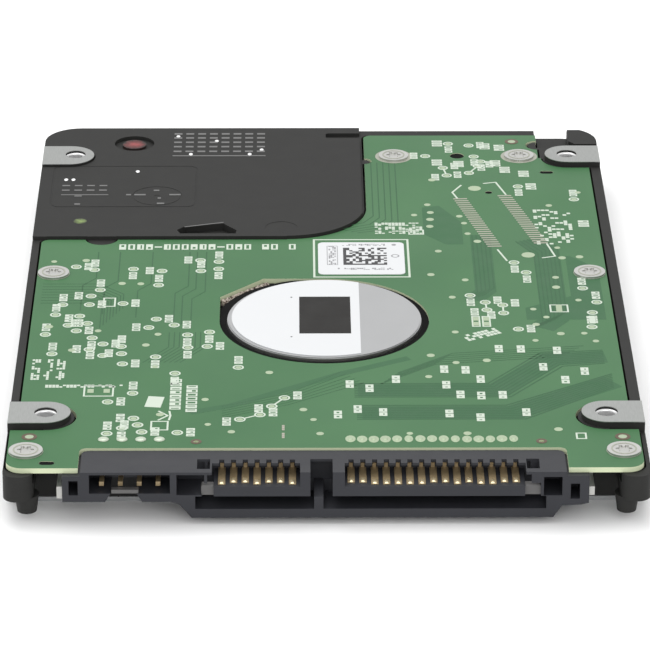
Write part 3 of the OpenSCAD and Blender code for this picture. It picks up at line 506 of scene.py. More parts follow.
class Build:
    """Gathers small shapes, in millimetres, into one mesh."""

    def __init__(self):
        self.points, self.faces, self.layer = [], [], 0

    def loft(self, rings):
        """Joins closed rings of points, listed bottom first, each anticlockwise from above."""
        n, start = len(rings[0]), len(self.points)
        for ring in rings:
            self.points += ring
        for k in range(len(rings) - 1):
            a, b = start + k * n, start + (k + 1) * n
            self.faces += [(a + i, a + (i + 1) % n, b + (i + 1) % n, b + i) for i in range(n)]
        self.faces.append(tuple(start + i for i in reversed(range(n))))
        self.faces.append(tuple(start + (len(rings) - 1) * n + i for i in range(n)))

    def prism(self, outline, low, high):
        """A slab of an outline listed anticlockwise."""
        self.loft([[(x, y, low) for x, y in outline], [(x, y, high) for x, y in outline]])

    def block(self, x0, y0, x1, y1, low, high):
        """A block by its opposite corners."""
        self.prism([(x0, y0), (x1, y0), (x1, y1), (x0, y1)], low, high)

    def patch(self, x, y, w, h, low, high, turn=0.0):
        """A block by its middle and size, turned by an angle in degrees."""
        c, s = math.cos(math.radians(turn)), math.sin(math.radians(turn))
        corners = [(-w / 2, -h / 2), (w / 2, -h / 2), (w / 2, h / 2), (-w / 2, h / 2)]
        self.prism([(x + c * u - s * v, y + s * u + c * v) for u, v in corners], low, high)

    def lathe(self, x, y, profile, sides=28):
        """Turns a closed profile of (radius, height) about an upright axis."""
        start, n = len(self.points), len(profile)
        for k in range(sides):
            a = 2 * math.pi * k / sides
            self.points += [(x + r * math.cos(a), y + r * math.sin(a), z) for r, z in profile]
        for k in range(sides):
            a, b = start + k * n, start + (k + 1) % sides * n
            self.faces += [(a + i, b + i, b + (i + 1) % n, a + (i + 1) % n) for i in range(n)]

    def ring(self, x, y, inner, outer, low, high, sides=28):
        """A flat ring."""
        self.lathe(x, y, [(inner, low), (outer, low), (outer, high), (inner, high)], sides)

    def disc(self, x, y, radius, low, high, stretch=1.0):
        """A disc with a slightly rounded rim; stretch lengthens it along Y."""
        rim, shoulder = 0.92, low + 0.6 * (high - low)
        self.loft([oval(x, y, r, stretch, z)
                   for r, z in ((radius, low), (radius, shoulder), (radius * rim, high))])

    def dome(self, x, y, radius, low, rise, stretch=1.0):
        """A rounded bead, cut off just short of its top."""
        steps, quarter_turn = 5, 4.6
        angles = [math.pi / 2 * step / quarter_turn for step in range(steps)]
        self.loft([oval(x, y, radius * math.cos(a), stretch, low + rise * math.sin(a))
                   for a in angles])

    def stroke(self, path, width, low, high):
        """A strip of even width along a path of points, mitred at its corners."""
        sharpest_mitre = 0.3
        left, right = [], []
        for k, (x, y) in enumerate(path):
            before = Vector(path[max(k - 1, 0)])
            after = Vector(path[min(k + 1, len(path) - 1)])
            here = Vector((x, y))
            a = (here - before).normalized() if k else (after - here).normalized()
            b = (after - here).normalized() if k < len(path) - 1 else a
            side = (a + b).normalized()
            side = Vector((-side.y, side.x)) * (width / 2 / max(sharpest_mitre, side.dot(a)))
            left.append((x + side.x, y + side.y))
            right.append((x - side.x, y - side.y))
        start, n = len(self.points), len(path)
        for row in (right, left):
            self.points += [(x, y, low) for x, y in row] + [(x, y, high) for x, y in row]
        low_r, top_r, low_l, top_l = (start + i * n for i in range(4))
        for k in range(n - 1):
            self.faces += [(top_r + k, top_r + k + 1, top_l + k + 1, top_l + k),
                           (low_l + k, low_l + k + 1, low_r + k + 1, low_r + k),
                           (low_r + k, low_r + k + 1, top_r + k + 1, top_r + k),
                           (top_l + k, top_l + k + 1, low_l + k + 1, low_l + k)]
        self.faces.append((low_l, low_r, top_r, top_l))
        self.faces.append((low_r + n - 1, low_l + n - 1, top_l + n - 1, top_r + n - 1))

    def frame(self, x0, y0, x1, y1, width, low, high):
        """The outline of a rectangle, drawn with a line of even width."""
        w = width
        self.block(x0, y0, x1, y0 + w, low, high)
        self.block(x0, y1 - w, x1, y1, low, high)
        self.block(x0, y0 + w, x0 + w, y1 - w, low, high)
        self.block(x1 - w, y0 + w, x1, y1 - w, low, high)

    def cells(self, x, y, w, h, columns, rows, low, high, fill=0.62):
        """A small field of random square marks, centred on a place, in place of printed characters."""
        share = 0.86
        dx, dy = w / columns, h / rows
        for i in range(columns):
            for j in range(rows):
                if rng.random() < fill:
                    cx, cy = x - w / 2 + (i + 0.5) * dx, y - h / 2 + (j + 0.5) * dy
                    self.patch(cx, cy, dx * share, dy * share, low, high)

    def code(self, x0, y0, cell, modules, low, high, fill):
        """A square field of random modules with two solid edges, from its corner."""
        for i in range(modules):
            for j in range(modules):
                if i == 0 or j == 0 or rng.random() < fill:
                    self.patch(x0 + (i + 0.5) * cell, y0 + (j + 0.5) * cell, cell, cell, low, high)

    def marks(self, x, y, w, h, columns, rows, low, high, line=0.19):
        """A field of small boxes, each empty or half filled, in place of printed characters."""
        dx, dy = w / columns, h / rows
        gap_x, gap_y = 0.05, 0.06
        # fields overlap here and there, so neighbours lie at different heights
        self.layer = self.layer % 7 + 1
        high += 0.0015 * self.layer
        fill_high = high - 0.002
        for i in range(columns):
            for j in range(rows):
                x0, y0 = x - w / 2 + i * dx + gap_x, y - h / 2 + j * dy + gap_y
                x1, y1 = x0 + dx - 2 * gap_x, y0 + dy - 2 * gap_y
                mid_x, mid_y = (x0 + x1) / 2, (y0 + y1) / 2
                self.frame(x0, y0, x1, y1, line, low, high)
                half = rng.choice(((x0, y0, x1, mid_y), (x0, mid_y, x1, y1), (x0, y0, mid_x, y1), None))
                if half:
                    self.block(*half, low, fill_high)

    def done(self, name, material, slot, body=BODY, smooth=False):
        """Makes the object, and fixes it to a body if one is given."""
        mesh = bpy.data.meshes.new(name)
        mesh.from_pydata([Vector(p) * MM for p in self.points], [], self.faces)
        mesh.validate()
        mesh.update()
        if smooth:
            mesh.shade_smooth()
        mesh.materials.append(material)
        obj = bpy.data.objects.new(name, mesh)
        bpy.context.collection.objects.link(obj)
        if body:
            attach(obj, body)
        return obj


# ---- what is printed and plated on the circuit board ----

CONTACT_W, CONTACT_T = 0.78, 0.13
POWER_COUNT, SIGNAL_COUNT = 15, 7
JOINTS_Y = -41.9

# The low and high ends of each kind of layer on the board
INK = on_face(BOARD_TOP, 0.015)
PAD = on_face(BOARD_TOP, 0.03)
RING_PAD = on_face(BOARD_TOP, 0.01)
FINE_PAD = on_face(BOARD_TOP, 0.02)
LAND = on_face(BOARD_TOP, 0.012)
JOINT = on_face(BOARD_TOP, 0.035)
TRACE = on_face(BOARD_TOP, 0.006)
PLANE = on_face(BOARD_TOP, 0.004)
FIELD = on_face(BOARD_TOP, 0.003)

# Test points, each with its mark to one side of it
LEFT_RINGS = [(-29.3, 5.9), (-27.1, 5.0), (-22.5, 5.2), (-19.1, 4.6), (-14.6, 7.8), (-12.4, 7.4),
              (-14.5, 4.6), (-12.4, 5.2), (-19.4, 0.4), (-26.2, -1.0), (-27.2, -2.8), (-23.4, -5.0),
              (-30.4, -5.3), (-27.3, -5.3), (-31.1, -8.2), (-28.3, -8.6), (-29.5, -11.2), (-27.3, -10.7),
              (-19.4, -9.5), (-17.3, -11.2), (-28.5, -12.8), (-15.7, -14.0), (-13.2, -13.2),
              (-20.2, -11.9), (-32.0, -13.8), (-26.6, -14.8), (-25.3, -16.5), (-23.2, -17.2),
              (-15.6, -17.5), (-13.4, -17.2), (-26.8, -18.0), (-31.0, -19.2), (-25.2, -19.7),
              (-23.1, -19.2), (-19.2, -20.1), (-22.9, -22.0), (-16.9, -24.6), (-9.8, -23.0),
              (-24.2, -32.2), (-21.5, -29.9), (-21.2, -36.5), (-22.4, -39.0), (-20.7, -38.2),
              (-20.2, -40.0), (-24.0, -40.4), (-16.3, -40.2)]
RIGHT_RINGS = [(22.7, 7.0), (24.0, 4.0), (30.4, -0.7), (31.8, -4.8), (31.1, -7.8), (30.8, -11.9),
               (17.1, -2.8), (22.3, -12.5)]
UPPER_RINGS = [(16.1, 45.4), (18.7, 44.8), (13.1, 41.2), (19.2, 41.0), (20.0, 39.3), (24.3, 31.0),
               (31.0, 26.8)]
RING_PAIRS = [((-4.6, -31.2), (-6.0, -33.4)), ((-7.3, -35.6), (-9.5, -36.8)),
              ((18.8, -4.8), (18.9, -7.0)), ((20.8, -5.6), (20.8, -7.9)),
              ((15.2, 37.2), (15.6, 34.7)), ((19.6, 37.8), (18.4, 35.5))]
VIAS = [(9.1, -40.5), (15.4, -40.5), (25.4, -39.5), (12, -19.8), (18.3, -21.2), (14.8, -21.8),
        (11.6, -25.6), (-2.5, -34.3), (-1.4, -36.9), (-13, -38.1), (-10.4, -40), (-0.7, -40.5),
        (-13.4, -31.6), (-18.3, -35.5), (-6.3, -24.4), (-19.2, -22.8), (-28.8, -18.2), (-20.4, -16.8),
        (-19.1, -13.8), (-26, -12.8), (-31.7, -11.6), (-23.7, 0.9), (-21.5, 0.8), (-32, 7.5),
        (-28.2, 7.8), (18.6, 13.5), (13.8, 10.5), (28.1, 11.5), (28.5, 8.4), (30.6, 8.7), (12.7, 3.4),
        (16.7, 1.8), (27.4, 2.5), (27.3, -0.4), (15, -3.3), (29.7, -4.2), (24.3, -6.8), (25.7, -9.1),
        (24.4, -11.2), (15, -13.3), (27.1, -13.8), (29.8, -13.7), (24.1, -15.7), (31, -15.9),
        (13.7, 33.2), (12.9, 25.1), (13.2, 22.6), (13.1, 20.4), (13, 18.2), (11.2, 21.8), (16.7, 21.4),
        (17.2, 19.2), (17.5, 15.9), (31.6, 29), (27.8, 24.8)]
LARGE_VIAS = [(24.5, 9.3), (18.9, 30.4)]
TEST_MARKS = [(2.7, -27.6), (4.9, -28.7), (7.9, -26.3), (13.4, -23.6), (15.8, -23.8), (13.5, -27.8),
              (17.4, -26.3), (15, -30.4), (17.3, -30.7), (19.7, -30.5), (24.6, -23), (29.2, -24.2),
              (26.9, -26.5), (19.8, -18), (22.3, -18.1), (26.4, -18.5), (1.3, -35.6), (3.5, -34.2),
              (6.3, -35), (13.6, -35.4), (17, -36.4), (22.1, -35.1)]
UPPER_MARKS = [(14.7, 45.5), (20.7, 44.5), (22.5, 44), (14.5, 39), (17.2, 38.5), (21.8, 38.7),
               (22.9, 36.5), (25.2, 35.2), (25.9, 31), (31.7, 19)]
# Middle and size of the outlines of small parts
PART_BOXES = [(-25, -4.6, 1.5, 2.6), (-25.3, -29.3, 3.4, 2.9), (-18.3, -38.4, 2.0, 2.4),
              (27.3, -6.6, 2.2, 2.2), (17.5, -10.3, 1.0, 3.0), (18.7, -10.3, 1.0, 3.0),
              (27.8, -41.2, 1.2, 1.6), (11.3, 16.4, 1.9, 1.5)]
PART_PADS = [(-26.2, -29.3), (-24.4, -29.3), (27.3, -7.1), (27.3, -6.1), (17.5, -9.6), (17.5, -11),
             (18.7, -9.6), (18.7, -11)]
RING_IN, RING_OUT = 0.44, 0.64
VIA_R, LARGE_VIA_R = 0.44, 0.8
# A test point's mark: width, height, columns and rows, and where it may stand
POINT_MARK = (1.05, 2.2, 1, 3)
SIDES = {"above": (0, 2.0), "below": (0, -2.0), "right": (1.45, 0.1), "left": (-1.45, 0.1)}


def add_test_point(ink, pads, x, y):
    """A printed ring and the pad inside it."""
    ink.ring(x, y, RING_IN, RING_OUT, *INK)
    pads.disc(x, y, RING_IN * 0.8, *RING_PAD)


def add_rings(ink, pads):
    """Every test point, with a mark beside it; the paired ones are joined by a line."""
    edge_x = 29.5
    for x, y in LEFT_RINGS + RIGHT_RINGS + UPPER_RINGS:
        add_test_point(ink, pads, x, y)
        free = ("above", "below") if abs(x) > edge_x else ("above", "below", "right", "left")
        dx, dy = SIDES[rng.choice(free)]
        ink.marks(x + dx, y + dy, *POINT_MARK, *INK)
    for first, second in RING_PAIRS:
        for (x, y), side in ((first, 1), (second, -1)):
            add_test_point(ink, pads, x, y)
            ink.marks(x + 1.45 * side, y + 0.6 * side, *POINT_MARK, *INK)
        a, b = Vector(first), Vector(second)
        step = (b - a).normalized() * RING_OUT
        ink.stroke([tuple(a + step), tuple(b - step)], 0.2, *INK)


def add_title_row(ink):
    """A row of generic marks, with two dashes and two gaps in it."""
    first_x, pitch, y = -24.0, 1.07, 11.9
    dashes, gaps = (4, 11), (15, 18)
    for k in range(20):
        x = first_x + pitch * k
        if k in dashes:
            ink.patch(x, y, 0.9, 0.35, *INK)
        elif k not in gaps:
            ink.marks(x, y, 0.92, 1.75, 1, 1, *INK, line=0.24)


def add_upright_rows(ink):
    """Two upright rows of generic marks beside a plain box and a symbol."""
    pitch, size = 1.03, (1.35, 0.95)
    for k in range(8):
        ink.marks(-16.7, -26.6 - pitch * k, *size, 1, 1, *INK)
        if k < 7:
            ink.marks(-14.9, -28.3 - pitch * k, *size, 1, 1, *INK)
    ink.patch(-19, -32.2, 1.8, 2.8, *INK, turn=-8)
    for side in (-1, 1):
        outer, inner = -17.9 + 0.6 * side, -17.3 + 0.15 * side
        ink.stroke([(outer, -34.6), (inner, -35.8), (outer, -37.0)], 0.22, *INK)


def add_slanted_field(ink):
    """A slanted block of small squares in the right half."""
    degrees = 30
    c, s = math.cos(math.radians(degrees)), math.sin(math.radians(degrees))
    for i in range(9):
        for j in range(3):
            u, v = -2.0 + 0.5 * i, -0.6 + 0.6 * j
            if rng.random() < 0.72:
                ink.patch(18 + u * c - v * s, -14 + u * s + v * c, 0.42, 0.5, *INK, turn=degrees)


def add_print(ink):
    """The board's other print: the title row, outlines and fields of small squares."""
    add_title_row(ink)
    for x, y in TEST_MARKS:
        ink.marks(x, y, 1.0, 2.1, 1, 2, *INK, line=0.3)
    add_upright_rows(ink)
    for x, y, w, h in PART_BOXES:
        ink.frame(x - w / 2, y - h / 2, x + w / 2, y + h / 2, 0.2, *INK)
    add_slanted_field(ink)
    for k in range(3):
        ink.cells(-32.6 + 1.4 * k, -23.5, 1.0, 5.6, 3, 12, *INK, fill=0.5)
        ink.cells(9.2, 18.9 - 1.25 * k, 5.8, 1.0, 14, 3, *INK, fill=0.6)
    ink.cells(-27, -28, 8.7, 0.8, 22, 2, *INK)
    ink.cells(28, 18, 4.6, 11, 9, 22, *INK, fill=0.3)
    for x, y in UPPER_MARKS:
        ink.marks(x, y, 1.4, 2.1, 1, 3, *INK)
    # the outline of a part that isn't fitted
    for path in ([(17.3, 31.5), (16.1, 29.1), (16.7, 27)], [(20, 32), (21.6, 32.4), (22.7, 28.3)],
                 [(20.9, 11), (21.9, 7.5)], [(26.9, 12.8), (27.7, 8.9), (26.1, 8.4)]):
        ink.stroke(path, 0.22, *INK)
    # the frame around the paper label
    low, high = LABEL_LOW, LABEL_HIGH
    ink.frame(low.x - 0.6, low.y - 0.8, high.x + 0.6, high.y + 1.1, 0.25, *INK)


def add_pads(pads):
    """Vias and plated pads."""
    for x, y in VIAS:
        pads.disc(x, y, VIA_R * rng.uniform(0.8, 1.1), *PAD)
    for x, y in LARGE_VIAS:
        pads.disc(x, y, LARGE_VIA_R, *PAD)
    for x, y in PART_PADS:
        pads.patch(x, y, 0.7, 1.0, *PAD)


def add_footprint(tan):
    """The two slanted rows of fine pads of a part that isn't fitted."""
    rows = (((17.0, 27.0), (20.6, 12.0)), ((22.5, 28.0), (26.2, 13.0)))
    count = 24
    for (x0, y0), (x1, y1) in rows:
        for k in range(count):
            t = k / (count - 1)
            tan.patch(x0 + t * (x1 - x0), y0 + t * (y1 - y0), 1.7, 0.3, *FINE_PAD, turn=2)


def contact_middles(node, count):
    """The X of each contact in a row of contacts."""
    low, high = box_mm(node)
    pitch = (high.x - low.x - CONTACT_W) / (count - 1)
    return [low.x + CONTACT_W / 2 + k * pitch for k in range(count)]


def add_solder(pads, solder):
    """The joints of the power contacts and the jumper pins."""
    for x in contact_middles("power_contacts", POWER_COUNT):
        wide = rng.uniform(0.46, 0.60)
        pads.disc(x, JOINTS_Y + rng.uniform(-0.08, 0.08), wide, *JOINT, stretch=0.85 / wide)
        pads.dome(x, JOINTS_Y, 0.3, BOARD_TOP, 0.12, stretch=1.5)
    first_x, pitch = -24.3, 2.03
    for k in range(4):
        solder.dome(first_x + pitch * k, JOINTS_Y, 0.62, BOARD_TOP - SINK, 0.22)


def add_contact_tips(tips):
    """The rounded, worn noses of the signal and power contacts."""
    rows = (("signal_contacts", SIGNAL_COUNT, (1, 2, 4, 5)),
            ("power_contacts", POWER_COUNT, (0, 1, 7, 8, 10, 13, 14)))
    half, set_back = 0.33 * CONTACT_W, 0.4
    nose = ((0.0, 0.03), (0.06, 0.09), (0.3, 0.11), (0.8, 0.07), (1.1, 0.012))
    for node, count, short in rows:
        corner = box_mm(node)[0]
        top = corner.z + CONTACT_T
        base = top - 0.1
        for k, x in enumerate(contact_middles(node, count)):
            tip_y = corner.y + (set_back if k in short else 0.0)
            rings = []
            for dy, rise in nose:
                y, side, crest = tip_y + dy - SINK, top + 0.3 * rise, top + rise
                rings.append([(x - half, y, base), (x + half, y, base), (x + half, y, side),
                              (x + 0.55 * half, y, crest), (x - 0.55 * half, y, crest),
                              (x - half, y, side)])
            tips.loft(rings)


def add_tongue_ends(ends):
    """Pale moulded lumps in the slots beyond the two tongues, and one under the jumper pins."""
    low, _ = box_mm("signal_contacts")
    _, high = box_mm("power_contacts")
    base, side, top, bevel = 3.36, 4.4, 4.48, 0.1
    front = low.y - 0.05
    for x0, x1 in ((low.x - 1.80, low.x - 0.42), (high.x + 0.50, high.x + 2.25)):
        rings = []
        for dy, inset in ((0.0, 0.12), (0.08, 0.0), (0.9, 0.0)):
            y = front + dy
            rings.append([(x0, y, base), (x1, y, base), (x1, y, side - inset),
                          (x1 - bevel, y, top - inset), (x0 + bevel, y, top - inset),
                          (x0, y, side - inset)])
        ends.loft(rings)
    ends.block(-23.2, -49.72, -20.3, -49.0, 3.69, 4.12)


def add_screw_lands(lands):
    """The plated ring around each of the board's screws, and a darker ring on its head, painted shade of
    a groove in the head.
    """
    places = solid_middles("pcb_screws")
    head_top = box_mm("pcb_screws")[1].z
    near_side_x = 31
    for x, y in places:
        outer = 1.9 if abs(x) > near_side_x else 2.3
        lands.ring(x, y, 1.15, outer, *LAND, sides=40)
    # a ring of darker tin on each head: painted shade of the groove in the head
    for x, y in places:
        lands.ring(x, y, 1.22, 1.4, head_top - 0.02, head_top + 0.03, sides=36)


def add_copper(copper, pads, tan):
    """Bare copper rings with their pads, and two small groups of fine pads."""
    for x, y in ((24.2, 46.1), (-32.4, -41.2), (32.3, -41.4)):
        copper.ring(x, y, 0.36, 0.85, *PAD)
        pads.disc(x, y, 0.5, PAD[0], PAD[1] + 0.01)
    for x, y in ((-14.2, -42.5), (23.4, -42.5)):
        copper.ring(x, y, 0.31, 0.6, *PAD)
    for y in (-39.0, -41.0):
        tan.cells(-4.9, y, 0.7, 1.4, 2, 3, *PAD)


def add_shades(shades):
    """Black pieces in the board's slots and holes, and a black ring around the motor: painted shade
    where the slots, holes and the gap around the motor fall dark.
    """
    low, high = BOARD_TOP - 0.2, BOARD_TOP - 0.03
    for x, y in ((28.1, 35.7), (-30.2, -47.8)):
        shades.patch(x, y, 1.56, 0.8, low, high)
    for x, y, radius in ((17.1, 41.3, 0.89), (20.6, 29.1, 0.44)):
        shades.disc(x, y, radius, low, high)
    # a black ring on the floor of the casting's recess around the motor: painted shade of the gap
    shades.ring(SPINDLE.x, SPINDLE.y, 11.3, 12.6, PAD_TOP - 0.86, PAD_TOP - 0.83, sides=72)


# ---- traces ----

def add_traces(lines, planes):
    """Copper that shows through the solder mask as darker lines and fields."""
    add_upper_traces(lines)
    add_middle_traces(lines)
    for path, width in (([(19.0, 15.5), (19.0, -1.4), (17.4, -4.0)], 2.5),
                        ([(24.6, 14.0), (26.7, 10.4), (26.7, -9.6), (25.0, -12.2)], 3.2),
                        ([(9.5, -20.5), (2, -24.6), (-10.5, -33.2), (-15, -35)], 1.1)):
        planes.stroke(path, width, *PLANE)
    add_front_traces(lines)
    planes.stroke([(4.0, -35.2), (20.6, -35.2), (32.2, -27.0)], 3.4, *FIELD)
    planes.stroke([(3.6, -29.2), (19.2, -29.2), (25.4, -21.0), (31.8, -20.2)], 3.2, *FIELD)
    planes.prism([(23.4, -9.8), (32.6, -9.8), (32.6, 5.2), (29.4, 9.0), (28.9, 9.0), (28.9, -3.0),
                  (23.4, -6.4)], *FIELD)
    planes.prism([(14.3, 24.8), (12.2, 24.2), (12.2, 15.8), (14.8, 12.6), (16.9, 12.6),
                  (16.9, 19.5)], *FIELD)
    add_left_traces(lines)


def add_upper_traces(lines):
    """The bundles behind and to the right of the motor."""
    for k in range(5):
        x, step = 6.2 + 0.75 * k, 0.5 * k
        lines.stroke([(x, 39.0), (x, 21.5 - step), (x - 1.2, 19.4 - step), (x - 5, 17.6 - 0.35 * k)],
                     0.14, *TRACE)
        x, rise = 18.0 + step, 0.3 * k
        lines.stroke([(x, 15.5), (x, -1.8 + rise), (16.5 + step, -4.2 + rise)], 0.16, *TRACE)
    for k in range(7):
        x, rise = 25.2 + 0.48 * k, 0.5 * k
        lines.stroke([(x - 2.0, 13.5 + 0.2 * k), (x, 9.5 + 0.4 * k), (x, -10.5 + rise),
                      (x - 1.6, -13 + rise)], 0.15, *TRACE)


def add_middle_traces(lines):
    """The single lines to the left of the motor, and the bundles in front of it."""
    for k, x in enumerate((-26.8, -24.2, -20.3, -15.9, -15.0, -13.9)):
        drop = 0.8 * k
        lines.stroke([(x, 10.4), (x, 2.5 - drop), (x - 1.5, 0.4 - drop), (x - 1.5, -7 - k)],
                     0.14, *TRACE)
    for k in range(6):
        drop, shift = 0.6 * k, 0.4 * k
        lines.stroke([(29.5 - 0.55 * k, -17.2 - drop), (14.5 - shift, -19.2 - drop),
                      (8.2 - shift, -24.5 - drop)], 0.14, *TRACE)
        lines.stroke([(1.8 + 0.5 * k, -24.2 - drop), (-4.2, -30.0 - drop), (-11.5, -33.4 - drop)],
                     0.12, *TRACE)


def add_front_traces(lines):
    """The two wide bundles behind the power contacts."""
    for k in range(9):
        drop, shift = 0.45 * k, 0.3 * k
        lines.stroke([(3.2, -27.4 - drop), (18.2 + shift, -27.4 - drop), (24.4 + shift, -19.2 - drop),
                      (31.6, -18.4 - drop)], 0.2, *TRACE)
        lines.stroke([(3.4, -33.2 - drop), (20.0 + 0.25 * k, -33.2 - drop), (32.2, -24.9 - drop)],
                     0.22, *TRACE)


def add_left_traces(lines):
    """The bundles at the board's left edge and in front of the motor's left side."""
    for k in range(8):
        drop, shift = 0.8 * k, 0.35 * k
        turn_x = -23.4 - shift
        lines.stroke([(-33.0, 0.8 - drop), (-26.4, 0.8 - drop), (turn_x, -2.2 - drop + shift),
                      (turn_x, -6.4 - drop)], 0.13, *TRACE)
        x, end_x = -20.6 + 0.6 * k, -17.8 + 0.6 * k
        lines.stroke([(x, -21.6), (end_x, -17.4), (end_x, -13.2)], 0.13, *TRACE)


# ---- the board's paper label ----

def add_label_print(black, grey):
    """A random field of dark modules with generic marks around it."""
    layer = on_face(LABEL_HIGH.z, 0.008)
    side, modules = 5.2, 14
    black.code(2.4, 6.2, side / modules, modules, *layer, fill=0.48)
    grey.cells(5.0, 12.3, 5.4, 0.55, 22, 3, *layer, fill=0.6)
    grey.disc(8.5, 12.3, 0.28, *layer)
    grey.cells(1.1, 9.1, 0.9, 5.6, 4, 22, *layer, fill=0.55)
    grey.frame(0.45, 6.2, 1.75, 12.0, 0.08, *layer)
    grey.ring(8.6, 8.9, 0.34, 0.5, *layer)
    grey.cells(5.0, 5.0, 6.6, 0.6, 26, 3, *layer, fill=0.6)


# ---- the casting's roof, the motor and the threads ----

def add_roof_marks(marks, bright):
    """Cast-in dashes of the date grids and the dial, with bright punched dots."""
    low, high = ROOF_TOP - 0.01, ROOF_TOP + 0.03
    # every place below is moved by this much towards the connector
    drop = 0.79
    for i in range(8):
        for y in (48.8, 47.4, 45.9, 44.4, 42.8):
            marks.patch(-18.1 + 1.5 * i, y - drop, 1.0, 0.5, low, high)
    marks.patch(-12.85, 41.3 - drop, 11.7, 0.28, low, high)
    for i in range(4):
        for y in (31.4, 29.9):
            marks.patch(-31.6 + 1.53 * i, y - drop, 0.95, 0.35, low, high)
    marks.patch(-29.2, 28.4 - drop, 5.8, 0.22, low, high)
    for x, y, w, h in ((-22.4, 28.4, 1.4, 0.4), (-18.1, 28.4, 1.4, 0.4), (-20.4, 29.8, 0.7, 0.4),
                       (-19.8, 25.6, 0.9, 0.4), (-20.0, 27.3, 0.4, 0.4), (-23.8, 28.4, 0.6, 0.4),
                       (-30, 25.4, 0.7, 0.4), (-30, 28, 0.9, 0.3)):
        marks.patch(x, y - drop, w, h, low, high)
    for x, y in ((-18.1, 48), (-13.2, 46.4), (-7.5, 43.4), (-16.4, 41.9), (-9, 41.9), (-31.7, 33.4),
                 (-30.8, 33.4), (-22.9, 36.1)):
        bright.dome(x, y - drop, 0.26, low, 0.07, stretch=1.6)
    marks.stroke([(-16.7, 17.9 - drop + 0.2), (-12.0, 19.3 - drop + 0.2)], 0.18, low, high)


def add_motor_window(dark):
    """The dark window of the motor's label, and two dots beside it."""
    x, y, face = SPINDLE.x, SPINDLE.y, BRACKET_TOP
    dark.block(x - 2.88, y - 4.48, x + 3.03, y + 6.08, face - 0.005, face + 0.045)
    for dy in (-5.4, 5.9):
        dark.disc(x - 3.8, y + dy, 0.12, face + 0.06, face + 0.078)


def add_motor_foam(foam):
    """A gritty foam strip along the cut corner of the board's window."""
    a, b = Vector((-12.05, -3.45)), Vector((-6.7, 1.9))
    inward = Vector((1, -1)).normalized()
    rows, columns, width = 6, 46, 0.95
    base = BOARD_TOP - 0.95
    rings = []
    for i in range(columns + 1):
        ring = []
        for j in range(rows):
            depth = width * j / (rows - 1)
            p = a.lerp(b, i / columns) + inward * (depth + rng.uniform(-0.05, 0.05))
            ring.append((p.x, p.y, BOARD_TOP - 0.28 - 0.25 * depth + rng.uniform(-0.1, 0.1)))
        first, last = ring[0], ring[-1]
        ring += [(last[0], last[1], base), (first[0], first[1], base)]
        rings.append(list(reversed(ring)))
    foam.loft(rings)


def base_holes():
    """The places of the four tapped holes, from the record's mount."""
    mount = next(x for x in frame["record"]["mounts"] if x["name"] == "base_holes")
    half_x, half_y = mount["dims"]["spacing_x_mm"] / 2, mount["dims"]["spacing_y_mm"] / 2
    middle = Vector(mount["pos_m"]) / MM
    return [(middle.x + i * half_x, middle.y + j * half_y) for i in (-1, 1) for j in (-1, 1)]


def add_threads(threads):
    """Screw thread inside the tapped base holes."""
    pitch, depth, root, wall = 0.5, 0.16, 1.245, 1.249
    low, high = PAD_TOP - 2.8, PAD_TOP - 0.15
    crests = int((high - low) / pitch)
    top = low + crests * pitch
    profile = []
    for k in range(crests):
        z = low + k * pitch
        profile += [(root, z), (root - depth, z + pitch / 2)]
    profile += [(root, top), (wall, top), (wall, low)]
    for x, y in base_holes():
        threads.lathe(x, y, profile, sides=36)


def add_cover_print(black, grey):
    """Generic bars, blocks and stripes on the cover's label."""
    low, high = COVER_LABEL_FACE - 0.008, COVER_LABEL_FACE + 0.003
    for k in range(34):
        x = -24 + 0.7 * k + rng.uniform(-0.1, 0.1)
        black.patch(x, 17.5, rng.choice((0.2, 0.3, 0.42)), 4.2, low, high)
    for k in range(7):
        width = rng.uniform(9, 19)
        columns = int(width / 0.45)
        grey.cells(6 + width / 2, 38.5 - 1.9 * k, width, 0.9, columns, 3, low, high, fill=0.55)
    grey.block(-26, 38.5, -6, 41, low, high)
    black.code(15.39, 14.19, 0.42, 16, low, high, fill=0.5)


def add_head_flex(material):
    """The heads' flexible circuit: a thin band with copper lines."""
    centre, radius = Vector((-9.1, 29.6)), 7.4
    start, end = 20.0, 168.0  # degrees around the centre
    z0, z1 = 0.98, 2.17
    steps, rows = 48, 6
    half_film, copper_rise = 0.03, 0.012
    piece = Build()
    rings = []
    for i in range(steps + 1):
        a = math.radians(start + (end - start) * i / steps)
        out = Vector((math.cos(a), math.sin(a)))
        ring = []
        for side, order in ((1, range(rows + 1)), (-1, range(rows, -1, -1))):
            for j in order:
                rise = copper_rise if j % 2 else 0.0
                p = centre + out * (radius + side * (half_film + rise))
                ring.append((p.x, p.y, z0 + (z1 - z0) * j / rows))
        rings.append(ring)
    piece.loft(rings)
    band = piece.done("head_flex_band", material, "flex_film", body=None, smooth=True)
    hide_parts("head_flex")
    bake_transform(band)


# ---- every piece ----

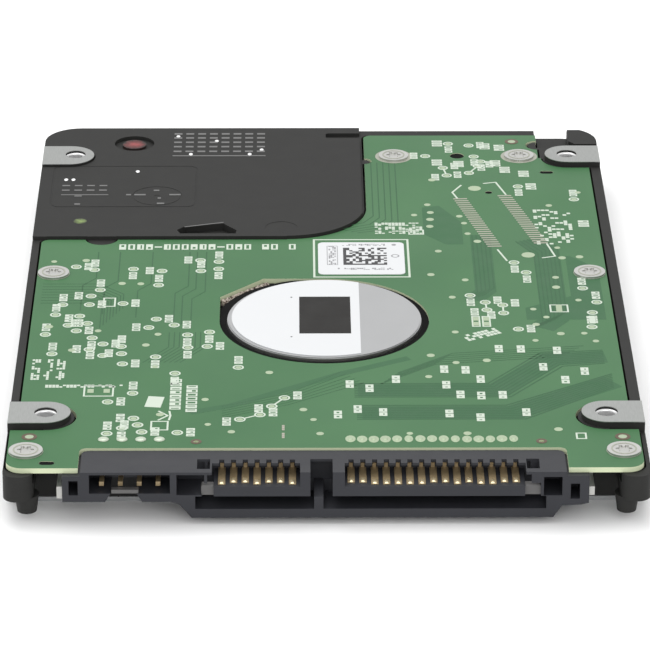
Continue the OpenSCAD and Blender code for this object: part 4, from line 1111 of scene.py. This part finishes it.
def add_board_details(m):
    """What lies on the board and the connector, and the painted shade in the board's openings."""
    ink, pads, solder, tan, copper, lands = (Build() for _ in range(6))
    lines, planes, tips, ends, shades = (Build() for _ in range(5))
    add_rings(ink, pads)
    add_print(ink)
    add_pads(pads)
    add_footprint(tan)
    add_solder(pads, solder)
    add_screw_lands(lands)
    add_traces(lines, planes)
    add_copper(copper, pads, tan)
    add_shades(shades)
    add_contact_tips(tips)
    add_tongue_ends(ends)
    ink.done("silkscreen", m["white_ink"], "white_paper")
    pads.done("plated_pads", m["tin"], "peg_tin")
    lands.done("screw_lands", m["land_tin"], "peg_tin")
    ends.done("tongue_ends", m["end_plastic"], "housing_plastic")
    tips.done("contact_tips", m["contact_tip"], "contact_gold", smooth=True)
    solder.done("solder_joints", m["solder"], "peg_tin", smooth=True)
    tan.done("fine_pads", m["pad_tan"], "peg_tin")
    shades.done("deep_shades", m["deep_black"], "gasket_rubber")
    copper.done("copper_rings", m["copper_pad"], "winding_copper")
    lines.done("traces", m["trace_green"], "board_green")
    planes.done("copper_planes", m["plane_green"], "board_green")


def add_other_details(m):
    """The labels' print, the roof's marks, the motor's window and foam, and the threads."""
    black, grey, marks, bright, spot, dark, foam, threads = (Build() for _ in range(8))
    add_label_print(black, grey)
    add_cover_print(black, grey)
    black.done("label_modules", m["black_ink"], "gasket_rubber")
    grey.done("label_marks", m["grey_ink"], "gasket_rubber")
    add_roof_marks(marks, bright)
    marks.done("roof_dashes", m["roof_mark"], "casting_paint")
    bright.done("roof_dots", m["bright_mark"], "bracket_metal", smooth=True)
    spot.dome(*ROOF_SPOT, ROOF_TOP - 0.01, 0.04, stretch=1.1)
    spot.done("roof_spot", m["roof_spot"], "casting_paint", smooth=True)
    add_motor_window(dark)
    add_motor_foam(foam)
    dark.done("motor_label_window", m["dark_film"], "gasket_rubber")
    foam.done("motor_foam", m["gritty_foam"], "insulator_foam")
    add_threads(threads)
    threads.done("thread_turns", m["thread_metal"], "bracket_metal", smooth=True)


add_camera()
add_studio()
materials = make_materials()
finish_cad_nodes(materials)
add_board_details(materials)
add_other_details(materials)
add_head_flex(materials["flex_film"])
